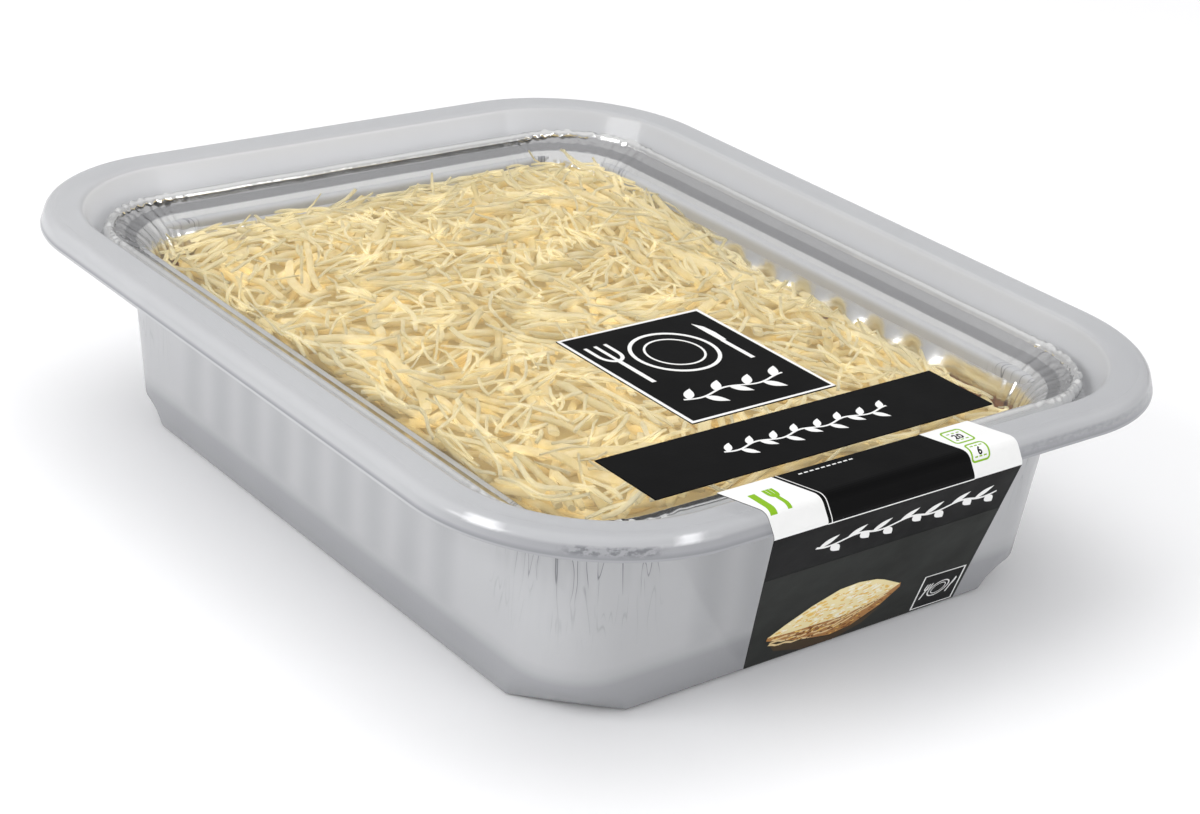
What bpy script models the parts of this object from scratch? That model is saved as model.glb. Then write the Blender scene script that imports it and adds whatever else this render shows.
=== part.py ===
"""Lasagne in a foil tray, sealed in a clear plastic outer tray with a folded front label.

Metres, +Z up. The origin is the middle of the base. The label is on the -Y side.
"""
import math
import random

import bmesh
import bpy
from mathutils import Vector, noise

# Gap kept between pieces that touch in the real pack
GAP = 0.0003

# Outer plastic tray: half widths are along X, and LONGER is what Y has more
PACK_HEIGHT = 0.0400
TRAY_LONGER = 0.01535
TRAY_THICK = 0.0008
FLANGE_HALF = 0.0691
FLANGE_WIDTH = 0.0064
FLANGE_RADIUS = 0.0310
LIP_DEPTH = 0.0030
LIP_FLARE = 0.0009
SEAT_HALF = 0.0601
SEAT_HEIGHT = 0.0331
SEAT_RADIUS = 0.0224
WALL_HALF = 0.0517
WALL_RADIUS = 0.0055
KNEE_HALF = 0.0512
KNEE_HEIGHT = 0.0044
KNEE_RADIUS = 0.0115
FOOT_HALF = 0.0505
FOOT_RADIUS = 0.0132
FOOT_ROUND = 0.0008
SEAT_ROUND = 0.0008
LIP_ROUND = 0.0013

# Foil tray: half widths along X and Y
BEAD_HALF = (0.0590, 0.0724)
BEAD_RADIUS = 0.0178
LEDGE_TOP = 0.0338
# Section of the rolled bead, round from under the ledge: out from its outer edge, up from the ledge
BEAD_SECTION = ((-0.0043, -0.0004), (-0.0010, -0.0003), (0.0, 0.0012), (-0.0004, 0.0024),
                (-0.0014, 0.0030), (-0.0029, 0.0024), (-0.0036, 0.0007), (-0.0043, 0.0))
MOUTH_HALF = (0.0502, 0.0652)
MOUTH_RADIUS = 0.0115
# Rounding of the mouth: out from the wall, up from the ledge, on the lower and the upper face
MOUTH_LOWER = ((0.0001, -0.0013), (0.0012, -0.0004))
MOUTH_UPPER = ((0.0012, 0.0), (0.0001, -0.0006))
WALL_TOP_DROP = 0.0024
FOIL_BASE_HALF = (0.0476, 0.0610)
FOIL_BASE_RADIUS = 0.0110
FOIL_BASE_HEIGHT = 0.0050
FOIL_BOTTOM = 0.0020
FOIL_THICK = 0.00035
# Rounding of the base: out from the wall, up from the bottom, on the lower and the upper face
BASE_LOWER = ((-0.0031, 0.0), (-0.0011, 0.0008))
BASE_UPPER = ((-0.0016, 0.0013), (-0.0034, FOIL_THICK))
FLUTE_PITCH = 0.0096
FLUTE_DEPTH = 0.0014
FLUTE_DEPTH_LOW = 0.0010
# Depth of a flute at equal steps across it
FLUTE_SHAPE = (0.0, 1.0, 1.0)
FLUTES_LONG_SIDE = 9
FLUTES_SHORT_SIDE = 6

# Lasagne and the grated cheese on it
LASAGNE_TOP = 0.0263
LASAGNE_EDGE = 0.0012
CHEESE_HALF = (0.0474, 0.0620)
CHEESE_RADIUS = 0.0105
CROWN_HEIGHT = 0.0358
# Height of the cheese at the wall, every 45 degrees round from the right side
CHEESE_RIM = (0.0285, 0.0318, 0.0306, 0.0292, 0.0325, 0.0330, 0.0326, 0.0278)
CROWN_SHARPNESS = 3.6
SQUARENESS = 6
# Rings of the mound, as shares of its half widths
CHEESE_LEVELS = (1.0, 0.91, 0.78, 0.6, 0.38, 0.14)
CHEESE_SIDE_POINTS = (4, 6)
RELIEF = 0.0009
RELIEF_SIZE = 0.009
SHRED_COUNT = 120
SHRED_WIDTH = (0.0016, 0.0020)
SHRED_THICK = (0.0011, 0.0014)
SHRED_LENGTH = (0.012, 0.027)
SHORT_SHRED = 0.016
SHRED_BEND = 1.3
SHRED_ARCH = 0.0010
SHRED_SEAT = (0.0001, 0.0009)
SHRED_SINK = 0.0002
SHRED_SEED = 11
SHRED_TRIES = 30
LIFTED_SHARE = 0.12
LIFT = (0.0020, 0.0036)
FILM_CLEARANCE = 0.0012

# Film, and the labels on it
FILM_HALF = 0.0674
FILM_RADIUS = 0.0294
FILM_THICK = 0.0003
PRINT_THICK = 0.0002
SQUARE_X = (-0.0227, 0.0064)
SQUARE_Y = (-0.0577, -0.0236)
BAND_X = (-0.0433, 0.0239)
BAND_Y = (-0.0745, -0.0605)

# Front label: thickness, and its left and right edges where it starts, creases and ends
LABEL_THICK = 0.00035
LABEL_START_Y = -0.0772
LABEL_START_X = (-0.0344, 0.0156)
LABEL_CREASE_X = (-0.0305, 0.0196)
LABEL_END_X = (-0.0154, 0.0301)
LABEL_END_HEIGHT = 0.0014
LABEL_END_Y = -0.0671
# The crease under the lip: its rounding, and how far it stands off so that this clears the lip
CREASE_ROUND = 0.0007
CREASE_OUT = 0.00025

# Steps in each round corner
CORNER_STEPS = 6
CHEESE_CORNER_STEPS = 4


def clear_scene():
    for obj in list(bpy.data.objects):
        bpy.data.objects.remove(obj, do_unlink=True)


def make_material(name, color, roughness, metallic=0.0, transmission=0.0):
    material = bpy.data.materials.new(name)
    material.use_nodes = True
    shader = material.node_tree.nodes["Principled BSDF"]
    shader.inputs["Base Color"].default_value = (*color, 1.0)
    shader.inputs["Roughness"].default_value = roughness
    shader.inputs["Metallic"].default_value = metallic
    shader.inputs["Transmission Weight"].default_value = transmission
    material.diffuse_color = (*color, 1.0)
    return material


def make_object(name, bm, material, sharp_angle=math.radians(35)):
    """Turn a bmesh into a named object with its faces pointing out."""
    bmesh.ops.recalc_face_normals(bm, faces=bm.faces)
    mesh = bpy.data.meshes.new(name)
    bm.to_mesh(mesh)
    bm.free()
    mesh.materials.append(material)
    mesh.shade_smooth()
    mesh.set_sharp_from_angle(angle=sharp_angle)
    obj = bpy.data.objects.new(name, mesh)
    bpy.context.scene.collection.objects.link(obj)
    return obj


def ring(half_x, half_y, radius, height, flat=0.0, side=None, steps=CORNER_STEPS):
    """Points round a rounded rectangle, each with its place on the way round.

    flat turns the round corners into straight 45 degree ones. side(length, axis) gives
    extra points of a straight stretch as pairs of distance along it and offset outwards.
    Places run from 0 to 8, one step for each corner and each side.
    """
    points = []
    for quarter in range(4):
        turn = quarter * math.pi / 2
        along = (half_x, half_y) if quarter % 2 == 0 else (half_y, half_x)
        start = Vector((along[0], along[1] - radius))
        end = Vector((along[0] - radius, along[1]))
        centre = Vector((along[0] - radius, along[1] - radius))
        local = []
        for step in range(steps + 1):
            share = step / steps
            angle = share * math.pi / 2
            round_point = centre + radius * Vector((math.cos(angle), math.sin(angle)))
            local.append((round_point.lerp(start.lerp(end, share), flat), 2 * quarter + share))
        if side:
            length = 2 * (along[0] - radius)
            for distance, offset in side(length, quarter % 2):
                point = Vector((length / 2 - distance, along[1] + offset))
                local.append((point, 2 * quarter + 1 + distance / length))
        for point, place in local:
            x = point.x * math.cos(turn) - point.y * math.sin(turn)
            y = point.x * math.sin(turn) + point.y * math.cos(turn)
            points.append((Vector((x, y, height)), place))
    return points


def add_ring(bm, points):
    return [(bm.verts.new(point), place) for point, place in points]


def band(bm, low, high):
    """Join two rings, which may have different numbers of points, by a strip of faces."""
    i = j = 0
    while i < len(low) or j < len(high):
        a = low[i % len(low)][0]
        b = high[j % len(high)][0]
        next_low = low[i + 1][1] if i + 1 < len(low) else (8.0 if i < len(low) else math.inf)
        next_high = high[j + 1][1] if j + 1 < len(high) else (8.0 if j < len(high) else math.inf)
        low_vert = low[(i + 1) % len(low)][0]
        high_vert = high[(j + 1) % len(high)][0]
        if abs(next_low - next_high) < 1e-6:
            bm.faces.new((a, low_vert, high_vert, b))
            i += 1
            j += 1
        elif next_low < next_high:
            bm.faces.new((a, low_vert, b))
            i += 1
        else:
            bm.faces.new((a, high_vert, b))
            j += 1


def skin(bm, rings):
    """Join rings in turn and close the first and the last."""
    made = [add_ring(bm, points) for points in rings]
    for low, high in zip(made, made[1:]):
        band(bm, low, high)
    bm.faces.new([vert for vert, place in made[0]])
    bm.faces.new([vert for vert, place in made[-1]])
    return made


def tray_ring(half, height, radius, flat=0.0):
    return ring(half, half + TRAY_LONGER, radius, height, flat)


def blend(first, second, share):
    return [a + (b - a) * share for a, b in zip(first, second)]


def soften(corners):
    """Round a profile's corners.

    Each corner is its values, the first two of which are its place in the section, and a
    pair: how far its rounding reaches to both sides, and the number of steps round it, 0
    for a sharp one.
    """
    profile = []
    for index, (corner, (reach, steps)) in enumerate(corners):
        if steps == 0:
            profile.append(corner)
            continue
        cuts = []
        for neighbour in (corners[index - 1][0], corners[index + 1][0]):
            distance = math.hypot(neighbour[0] - corner[0], neighbour[1] - corner[1])
            cuts.append(blend(corner, neighbour, reach / distance))
        for step in range(steps + 1):
            share = step / steps
            towards = blend(cuts[0], corner, share)
            away = blend(corner, cuts[1], share)
            profile.append(blend(towards, away, share))
    return profile


def tray_profile(inward):
    """Corners from the base up to the lip, on the outer face or moved inward from it."""
    fold = TRAY_THICK - inward
    foot = (FOOT_HALF - inward, inward)
    knee = (KNEE_HALF - inward, KNEE_HEIGHT)
    wall_top = (WALL_HALF - inward, SEAT_HEIGHT - fold)
    shoulder_half = FLANGE_HALF - FLANGE_WIDTH + fold
    lip_half = FLANGE_HALF + LIP_FLARE - fold
    corners = [
        ((foot[0] - 3 * FOOT_ROUND, foot[1], FOOT_RADIUS - FOOT_ROUND, 1.0), (0, 0)),
        ((*foot, FOOT_RADIUS, 1.0), (FOOT_ROUND, 2)),
        ((*knee, KNEE_RADIUS - inward, 0.0), (0, 0)),
        ((*wall_top, WALL_RADIUS - inward, 0.0), (SEAT_ROUND, 2)),
        ((SEAT_HALF + fold, wall_top[1], SEAT_RADIUS + fold, 0.0), (SEAT_ROUND, 1)),
        ((shoulder_half, PACK_HEIGHT - fold, FLANGE_RADIUS - FLANGE_WIDTH + fold, 0.0), (SEAT_ROUND, 1)),
        ((FLANGE_HALF - fold, PACK_HEIGHT - fold, FLANGE_RADIUS - fold, 0.0), (LIP_ROUND, 2)),
        ((lip_half, PACK_HEIGHT - LIP_DEPTH, FLANGE_RADIUS + LIP_FLARE - fold, 0.0), (0, 0)),
    ]
    return soften(corners)


def make_outer_tray(material):
    rings = [tray_ring(*corner) for corner in tray_profile(0.0)]
    rings += [tray_ring(*corner) for corner in reversed(tray_profile(TRAY_THICK))]
    bm = bmesh.new()
    skin(bm, rings)
    return make_object("outer_tray", bm, material)


def flutes(depth):
    """Extra points of a side, which dips inward by depth in each flute."""
    def side(length, axis):
        count = FLUTES_LONG_SIDE if axis == 1 else FLUTES_SHORT_SIDE
        points = []
        for step in range(len(FLUTE_SHAPE) * count + 1):
            spot = (step / len(FLUTE_SHAPE) - count / 2) * FLUTE_PITCH
            points.append((length / 2 + spot, -depth * FLUTE_SHAPE[step % len(FLUTE_SHAPE)]))
        return points
    return side


def foil_wall(inward):
    """Bottom and top ring of the fluted foil wall, moved inward by the foil's thickness."""
    ends = [(FOIL_BASE_HALF, FOIL_BASE_RADIUS, FOIL_BASE_HEIGHT, FLUTE_DEPTH_LOW),
            (MOUTH_HALF, MOUTH_RADIUS, LEDGE_TOP - WALL_TOP_DROP, FLUTE_DEPTH)]
    return [ring(half[0] - inward, half[1] - inward, radius - inward, height, side=flutes(depth))
            for half, radius, height, depth in ends]


def shifted_ring(half, shift, height, radius, side=None):
    return ring(half[0] + shift, half[1] + shift, radius + shift, height, side=side)


def section_rings(half, radius, level, section, flute_end):
    """A ring for each (out, up) of a section. The one next to the flutes has their points."""
    return [shifted_ring(half, out, level + up, radius, flutes(0.0) if index == flute_end else None)
            for index, (out, up) in enumerate(section)]


def make_foil_tray(material):
    """The pressed tray, skinned up its outer face, round the bead and down its inner face."""
    base = (FOIL_BASE_HALF, FOIL_BASE_RADIUS, FOIL_BOTTOM)
    mouth = (MOUTH_HALF, MOUTH_RADIUS, LEDGE_TOP)
    rings = section_rings(*base, BASE_LOWER, 1)
    rings += foil_wall(0.0)
    rings += section_rings(*mouth, MOUTH_LOWER, 0)
    rings += section_rings(BEAD_HALF, BEAD_RADIUS, LEDGE_TOP, BEAD_SECTION, None)
    rings += section_rings(*mouth, MOUTH_UPPER, 1)
    rings += reversed(foil_wall(FOIL_THICK))
    rings += section_rings(*base, BASE_UPPER, 0)
    bm = bmesh.new()
    skin(bm, rings)
    return make_object("foil_tray", bm, material)


def make_lasagne(material):
    """The layered block under the cheese, out to the foil's flutes."""
    low = FOIL_BOTTOM + FOIL_THICK + GAP
    top_half = (CHEESE_HALF[0] - GAP, CHEESE_HALF[1] - GAP)
    wall_half = [half - FLUTE_DEPTH_LOW - FOIL_THICK - GAP for half in FOIL_BASE_HALF]
    rings = [
        shifted_ring(wall_half, -2 * LASAGNE_EDGE, low, CHEESE_RADIUS),
        shifted_ring(wall_half, 0.0, FOIL_BASE_HEIGHT, CHEESE_RADIUS),
        shifted_ring(top_half, 0.0, LASAGNE_TOP - LASAGNE_EDGE, CHEESE_RADIUS),
        shifted_ring(top_half, -LASAGNE_EDGE / 2, LASAGNE_TOP, CHEESE_RADIUS),
    ]
    bm = bmesh.new()
    skin(bm, rings)
    return make_object("lasagne", bm, material)


def rim_height(x, y):
    """Height of the cheese where it meets the foil, in the direction of a point."""
    turn = math.atan2(y / CHEESE_HALF[1], x / CHEESE_HALF[0]) / (2 * math.pi)
    place = (turn % 1.0) * len(CHEESE_RIM)
    index = int(place)
    share = place - index
    share = share * share * (3 - 2 * share)
    low = CHEESE_RIM[index % len(CHEESE_RIM)]
    high = CHEESE_RIM[(index + 1) % len(CHEESE_RIM)]
    return low + (high - low) * share


def cheese_height(x, y):
    """The mound: nearly level in the middle, falling to the rim, with low uneven bumps."""
    across = abs(x) / CHEESE_HALF[0]
    along = abs(y) / CHEESE_HALF[1]
    out = min((across ** SQUARENESS + along ** SQUARENESS) ** (1 / SQUARENESS), 1.0)
    mound = CROWN_HEIGHT - (CROWN_HEIGHT - rim_height(x, y)) * out ** CROWN_SHARPNESS
    bump = noise.noise(Vector((x, y, 0.0)) / RELIEF_SIZE)
    return mound + RELIEF * bump * (1.0 - out ** 4)


def cheese_core_rings():
    """The flat underside, the rim, and rings that climb over the mound to its middle."""
    def side(length, axis):
        count = CHEESE_SIDE_POINTS[axis]
        return [(length * (step + 1) / (count + 1), 0.0) for step in range(count)]

    outline = ring(*CHEESE_HALF, CHEESE_RADIUS, LASAGNE_TOP + GAP, side=side,
                   steps=CHEESE_CORNER_STEPS)
    rings = [outline]
    for share in CHEESE_LEVELS:
        level = []
        for point, place in outline:
            x = point.x * share
            y = point.y * share
            level.append((Vector((x, y, cheese_height(x, y) - SHRED_SINK)), place))
        rings.append(level)
    return rings


def shred_points(rng, x, y, length, steps):
    """Middle line of one shred: an arc laid over the mound, sometimes with an end lifted."""
    heading = rng.uniform(0, 2 * math.pi)
    bend = rng.uniform(-SHRED_BEND, SHRED_BEND)
    arch = rng.uniform(0.0, SHRED_ARCH)
    lift = rng.uniform(*LIFT) if rng.random() < LIFTED_SHARE else 0.0
    base = rng.uniform(*SHRED_SEAT)
    flat = []
    spot = Vector((0.0, 0.0))
    for step in range(steps + 1):
        flat.append(spot.copy())
        angle = heading + bend * (step / steps - 0.5)
        spot = spot + length / steps * Vector((math.cos(angle), math.sin(angle)))
    middle = sum(flat, Vector((0.0, 0.0))) / len(flat)
    points = []
    for step, point in enumerate(flat):
        share = step / steps
        px = x + point.x - middle.x
        py = y + point.y - middle.y
        rise = base + arch * math.sin(math.pi * share) + lift * share ** 2
        points.append(Vector((px, py, cheese_height(px, py) + rise)))
    return points


def inside_foil(points):
    """True where a shred stays clear of the foil's flutes, the lasagne and the film."""
    reach_x = CHEESE_HALF[0] - 0.5 * SHRED_WIDTH[1]
    reach_y = CHEESE_HALF[1] - 0.5 * SHRED_WIDTH[1]
    corner = CHEESE_RADIUS
    for point in points:
        over_x = abs(point.x) - (reach_x - corner)
        over_y = abs(point.y) - (reach_y - corner)
        if over_x > corner or over_y > corner or point.z > PACK_HEIGHT - FILM_CLEARANCE:
            return False
        if over_x > 0 and over_y > 0 and math.hypot(over_x, over_y) > corner:
            return False
    return True


def shred_object(index, points, width, thick):
    """A bent four-sided strip along the points."""
    bm = bmesh.new()
    loops = []
    for step, point in enumerate(points):
        before = points[max(step - 1, 0)]
        after = points[min(step + 1, len(points) - 1)]
        ahead = (after - before).normalized()
        across = ahead.cross(Vector((0, 0, 1))).normalized() * width / 2
        up = across.cross(ahead).normalized() * thick / 2
        corners = (across + up, up - across, -across - up, across - up)
        loops.append([bm.verts.new(point + corner) for corner in corners])
    for low, high in zip(loops, loops[1:]):
        for side in range(4):
            bm.faces.new((low[side], low[side - 1], high[side - 1], high[side]))
    bm.faces.new(loops[0])
    bm.faces.new(loops[-1])
    bmesh.ops.recalc_face_normals(bm, faces=bm.faces)
    mesh = bpy.data.meshes.new(f"shred_{index}")
    bm.to_mesh(mesh)
    bm.free()
    return bpy.data.objects.new(f"shred_{index}", mesh)


def make_shreds():
    """Shreds spread evenly over the mound, each in its own cell of a loose grid."""
    rng = random.Random(SHRED_SEED)
    shreds = bpy.data.collections.new("shreds")
    bpy.context.scene.collection.children.link(shreds)
    columns = round(math.sqrt(SHRED_COUNT * CHEESE_HALF[0] / CHEESE_HALF[1]))
    rows = math.ceil(SHRED_COUNT / columns)
    for index in range(columns * rows):
        column, row = index % columns, index // columns
        for attempt in range(SHRED_TRIES):
            x = ((column + rng.random()) / columns * 2 - 1) * CHEESE_HALF[0]
            y = ((row + rng.random()) / rows * 2 - 1) * CHEESE_HALF[1]
            length = rng.uniform(*SHRED_LENGTH) * (1.0 - 0.5 * attempt / SHRED_TRIES)
            points = shred_points(rng, x, y, length, 2 if length < SHORT_SHRED else 3)
            if inside_foil(points):
                width = rng.uniform(*SHRED_WIDTH)
                thick = rng.uniform(*SHRED_THICK)
                shreds.objects.link(shred_object(index, points, width, thick))
                break
    return shreds


def keep_largest_shell(mesh):
    """Drop loose scraps and fill sealed hollows: only the outermost shell stays."""
    bm = bmesh.new()
    bm.from_mesh(mesh)
    unseen = set(bm.verts)
    shells = []
    while unseen:
        shell = set()
        front = [unseen.pop()]
        while front:
            vert = front.pop()
            shell.add(vert)
            for link in vert.link_edges:
                other = link.other_vert(vert)
                if other in unseen:
                    unseen.remove(other)
                    front.append(other)
        shells.append(shell)
    shells.sort(key=len)
    loose = [vert for shell in shells[:-1] for vert in shell]
    bmesh.ops.delete(bm, geom=loose, context="VERTS")
    bmesh.ops.triangulate(bm, faces=bm.faces)
    bm.to_mesh(mesh)
    bm.free()


def make_grated_cheese(material):
    """The mound with its shreds fused on, as one body."""
    bm = bmesh.new()
    skin(bm, cheese_core_rings())
    core = make_object("grated_cheese", bm, material, math.radians(30))
    shreds = make_shreds()
    union = core.modifiers.new("shreds", "BOOLEAN")
    union.operation = "UNION"
    union.operand_type = "COLLECTION"
    union.collection = shreds
    union.solver = "EXACT"
    evaluated = core.evaluated_get(bpy.context.evaluated_depsgraph_get())
    fused = bpy.data.meshes.new_from_object(evaluated)
    core.modifiers.clear()
    core.data = fused
    keep_largest_shell(fused)
    for shred in list(shreds.objects):
        bpy.data.objects.remove(shred, do_unlink=True)
    bpy.data.collections.remove(shreds)
    return core


def make_film(material):
    low = PACK_HEIGHT + GAP
    bm = bmesh.new()
    skin(bm, [tray_ring(FILM_HALF, low, FILM_RADIUS),
              tray_ring(FILM_HALF, low + FILM_THICK, FILM_RADIUS)])
    return make_object("lidding_film", bm, material)


def make_plate(name, x_range, y_range, low, thick, material):
    """A flat rectangular label."""
    bm = bmesh.new()
    bmesh.ops.create_cube(bm, size=1.0)
    size = Vector((x_range[1] - x_range[0], y_range[1] - y_range[0], thick))
    middle = Vector((sum(x_range) / 2, sum(y_range) / 2, low + thick / 2))
    bmesh.ops.scale(bm, vec=size, verts=bm.verts)
    bmesh.ops.translate(bm, vec=middle, verts=bm.verts)
    return make_object(name, bm, material)


def front_label_path():
    """Middle line of the front label from above the film, over the lip, to the foot."""
    off = GAP + LABEL_THICK / 2
    level = PACK_HEIGHT + GAP + FILM_THICK + off
    lip_y = -(FLANGE_HALF + LIP_FLARE + TRAY_LONGER + off + CREASE_OUT)
    corners = [
        ((LABEL_START_Y, level), (0, 0)),
        ((lip_y + LIP_FLARE, level), (LIP_ROUND, 2)),
        ((lip_y, PACK_HEIGHT - LIP_DEPTH), (CREASE_ROUND, 1)),
        ((LABEL_END_Y, LABEL_END_HEIGHT), (0, 0)),
    ]
    return [Vector(point) for point in soften(corners)]


def make_front_label(material):
    """One strip with slanting side edges, folded over the lip and down to the foot."""
    path = front_label_path()
    crease = len(path) - 2
    lengths = [0.0]
    for before, after in zip(path, path[1:]):
        lengths.append(lengths[-1] + (after - before).length)
    bm = bmesh.new()
    loops = []
    for index, point in enumerate(path):
        before = path[max(index - 1, 0)]
        after = path[min(index + 1, len(path) - 1)]
        ahead = (after - before).normalized()
        out = Vector((ahead.y, -ahead.x)) * LABEL_THICK / 2
        if index <= crease:
            share = lengths[index] / lengths[crease]
            left, right = blend(LABEL_START_X, LABEL_CREASE_X, share)
        else:
            left, right = LABEL_END_X
        corners = ((left, -1), (right, -1), (right, 1), (left, 1))
        loops.append([bm.verts.new((x, point.x + side * out.x, point.y + side * out.y))
                      for x, side in corners])
    for low, high in zip(loops, loops[1:]):
        for side in range(4):
            bm.faces.new((low[side], low[side - 1], high[side - 1], high[side]))
    bm.faces.new(loops[0])
    bm.faces.new(loops[-1])
    return make_object("front_label", bm, material)


def main():
    clear_scene()
    plastic = make_material("frosted_plastic", (0.72, 0.73, 0.76), 0.35, transmission=0.5)
    foil = make_material("foil", (0.80, 0.80, 0.80), 0.22, metallic=1.0)
    filling = make_material("lasagne_filling", (0.62, 0.26, 0.07), 0.6)
    cheese = make_material("cheese", (0.86, 0.70, 0.34), 0.55)
    film = make_material("clear_film", (0.95, 0.95, 0.95), 0.08, transmission=1.0)
    print_black = make_material("print_black", (0.008, 0.008, 0.008), 0.4)
    label = make_material("label_paper", (0.02, 0.022, 0.02), 0.4)
    make_outer_tray(plastic)
    make_foil_tray(foil)
    make_lasagne(filling)
    make_grated_cheese(cheese)
    make_film(film)
    print_low = PACK_HEIGHT + 2 * GAP + FILM_THICK
    make_plate("film_label_square", SQUARE_X, SQUARE_Y, print_low, PRINT_THICK, print_black)
    make_plate("film_label_band", BAND_X, BAND_Y, print_low, PRINT_THICK, print_black)
    make_front_label(label)


main()
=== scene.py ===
"""Looks of a chilled lasagne in its foil tray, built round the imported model. Metres, +Z up."""

import math
import random

import bmesh
import bpy
import numpy as np
from mathutils import Matrix, Vector, noise


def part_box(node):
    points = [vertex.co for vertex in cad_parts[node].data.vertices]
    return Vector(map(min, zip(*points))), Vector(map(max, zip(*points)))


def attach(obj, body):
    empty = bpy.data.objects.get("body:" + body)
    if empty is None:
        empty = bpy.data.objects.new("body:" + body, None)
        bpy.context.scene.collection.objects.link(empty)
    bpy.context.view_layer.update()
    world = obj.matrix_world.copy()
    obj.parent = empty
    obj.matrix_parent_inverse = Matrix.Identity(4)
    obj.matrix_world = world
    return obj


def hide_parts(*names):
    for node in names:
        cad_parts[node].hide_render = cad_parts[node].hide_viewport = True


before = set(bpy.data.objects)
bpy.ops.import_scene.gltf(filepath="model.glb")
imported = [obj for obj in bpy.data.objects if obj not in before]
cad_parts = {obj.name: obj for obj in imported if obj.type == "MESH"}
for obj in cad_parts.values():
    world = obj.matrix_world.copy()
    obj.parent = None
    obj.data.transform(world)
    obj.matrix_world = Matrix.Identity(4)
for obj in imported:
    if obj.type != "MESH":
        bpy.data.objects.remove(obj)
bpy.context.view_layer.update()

# Camera: place and directions in the frame, and focal length for an image 1200 pixels wide
CAMERA_PLACE = Vector((-0.25031, -0.30981, 0.19877))
CAMERA_FORWARD = Vector((0.58048, 0.69862, -0.41829))
CAMERA_RIGHT = Vector((0.78935, -0.60892, 0.07840))
CAMERA_FOCAL = 2514.15
IMAGE_WIDTH = 1200
SENSOR = 36.0

# Outer plastic tray, as in the solids
GAP = 0.0003
PACK_HEIGHT = 0.0400
TRAY_LONGER = 0.01535
TRAY_THICK = 0.0008
FLANGE_HALF = 0.0691
FLANGE_WIDTH = 0.0064
FLANGE_RADIUS = 0.0310
LIP_DEPTH = 0.0030
LIP_FLARE = 0.0009
SEAT_HALF = 0.0601
SEAT_HEIGHT = 0.0331
SEAT_RADIUS = 0.0224
WALL_HALF = 0.0517
WALL_RADIUS = 0.0055
KNEE_HALF = 0.0512
KNEE_HEIGHT = 0.0044
KNEE_RADIUS = 0.0115
FOOT_HALF = 0.0505
FOOT_RADIUS = 0.0132
FOOT_ROUND = 0.0008
SEAT_ROUND = 0.0010
LIP_ROUND = 0.0013
# Rings of the wall, as shares from the knee to its top
WALL_RINGS = (0.0, 0.06, 0.12, 0.18, 0.26, 0.35, 0.43, 0.52, 0.6, 0.7, 0.78, 0.85, 0.91, 0.96)
# Height of the thin line of painted shade above the lip's edge
LIP_LINE = 0.0006
# Where painted highlights lie on the near corner's lip, as distances from the corner's middle
LIP_PAINTED_HIGHLIGHTS = ((-0.0150, -0.0080), (0.0155, 0.0208))
# Height at which the foil's lower edge shows through the wall, with painted shade below it
FOIL_FOOT_SHOWS = 0.0080
# Steps in a corner, on a short side and on a long side
TRAY_COUNTS = (48, 100, 130)
# Painted shade on the plastic deepens from this distance towards the front, over this reach
FRONT_START = 0.0450
FRONT_REACH = 0.0300
# Strength of each tone: painted shade on the flange, the lip and its thin line, painted crimp shade, painted
# light on the slope, painted shade of the flutes and of the gap under the foil, and a random swell; pairs are
# at the back and what the front adds, or at the left and at the right
FLANGE_SHADE = 0.22
LIP_SHADE = (0.12, 0.48)
LIP_LINE_SHADE = 0.9
LIP_CRIMP_SHADE = 0.8
SLOPE_PAINTED_LIGHT = (0.75, 0.20)
STRIPE_SHADE = 0.24
UNDER_SHADE = 0.58
SWELL_SHADE = 0.05
# Where the slope's painted light turns weaker, and where the near corner's lip gets painted crimp shade, with
# its fade
PAINTED_LIGHT_TURN = 0.0300
CRIMP_SHADE_PLACE = (-0.0010, 0.0150)
CRIMP_SHADE_FADE = 0.0030
# Painted crease shade reaches this far from a corner's middle
CREASE_REACH = 0.0175
# How strongly a crease's painted shade is drawn at each value of its noise
CREASE_STOPS = ((0.36, 0.0), (0.489, 0.04), (0.498, 1.0), (0.502, 1.0), (0.511, 0.14), (0.64, 0.0))

# Foil tray
BEAD_HALF = (0.0590, 0.0724)
BEAD_RADIUS = 0.0178
LEDGE_TOP = 0.0338
MOUTH_HALF = (0.0502, 0.0652)
MOUTH_RADIUS = 0.0115
FOIL_BASE_HALF = (0.0476, 0.0610)
FOIL_BASE_RADIUS = 0.0110
FOIL_BASE_HEIGHT = 0.0050
WALL_TOP_DROP = 0.0054
FOIL_SHEET = 0.00012
FLUTE_PITCH = 0.0096
FLUTE_DEPTH = 0.0015
FLUTE_DEPTH_LOW = 0.0011
FLUTE_SHIFT = 0.0020
FLUTES_LONG_SIDE = 9
FLUTES_SHORT_SIDE = 6
FOIL_COUNTS = (100, 150, 210)
# How far under the ledge the flutes end, and the height of their rounded tops
FLUTE_TOP = 0.0040
FLUTE_TOP_ROUND = 0.0034
# Rows of the foil: (out, height) at the base, shares up the wall, (out, up) at the mouth and bead
BASE_ROWS = ((-0.0120, 0.0020), (-0.0045, 0.0020), (-0.0027, 0.0022), (-0.0014, 0.0029), (-0.0005, 0.0039))
WALL_SHARES = (0.0, 0.12, 0.25, 0.38, 0.5, 0.6, 0.68, 0.74, 0.79, 0.83, 0.87, 0.91, 0.95, 1.0)
MOUTH_ROWS = ((0.0003, -0.0042), (0.0007, -0.0031), (0.0012, -0.0022), (0.0018, -0.0014), (0.0024, -0.0008),
              (0.0029, -0.0004), (0.0032, -0.0001))
LEDGE_ROWS = ((0.0034, 0.0001), (0.0037, 0.0002), (0.0043, 0.00050), (0.0050, 0.00090))
RIM_ROWS = ((0.0053, 0.00110), (0.0056, 0.00130), (0.0059, 0.00145), (0.0062, 0.00162), (0.0065, 0.00178),
            (0.0068, 0.00190))
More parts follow.
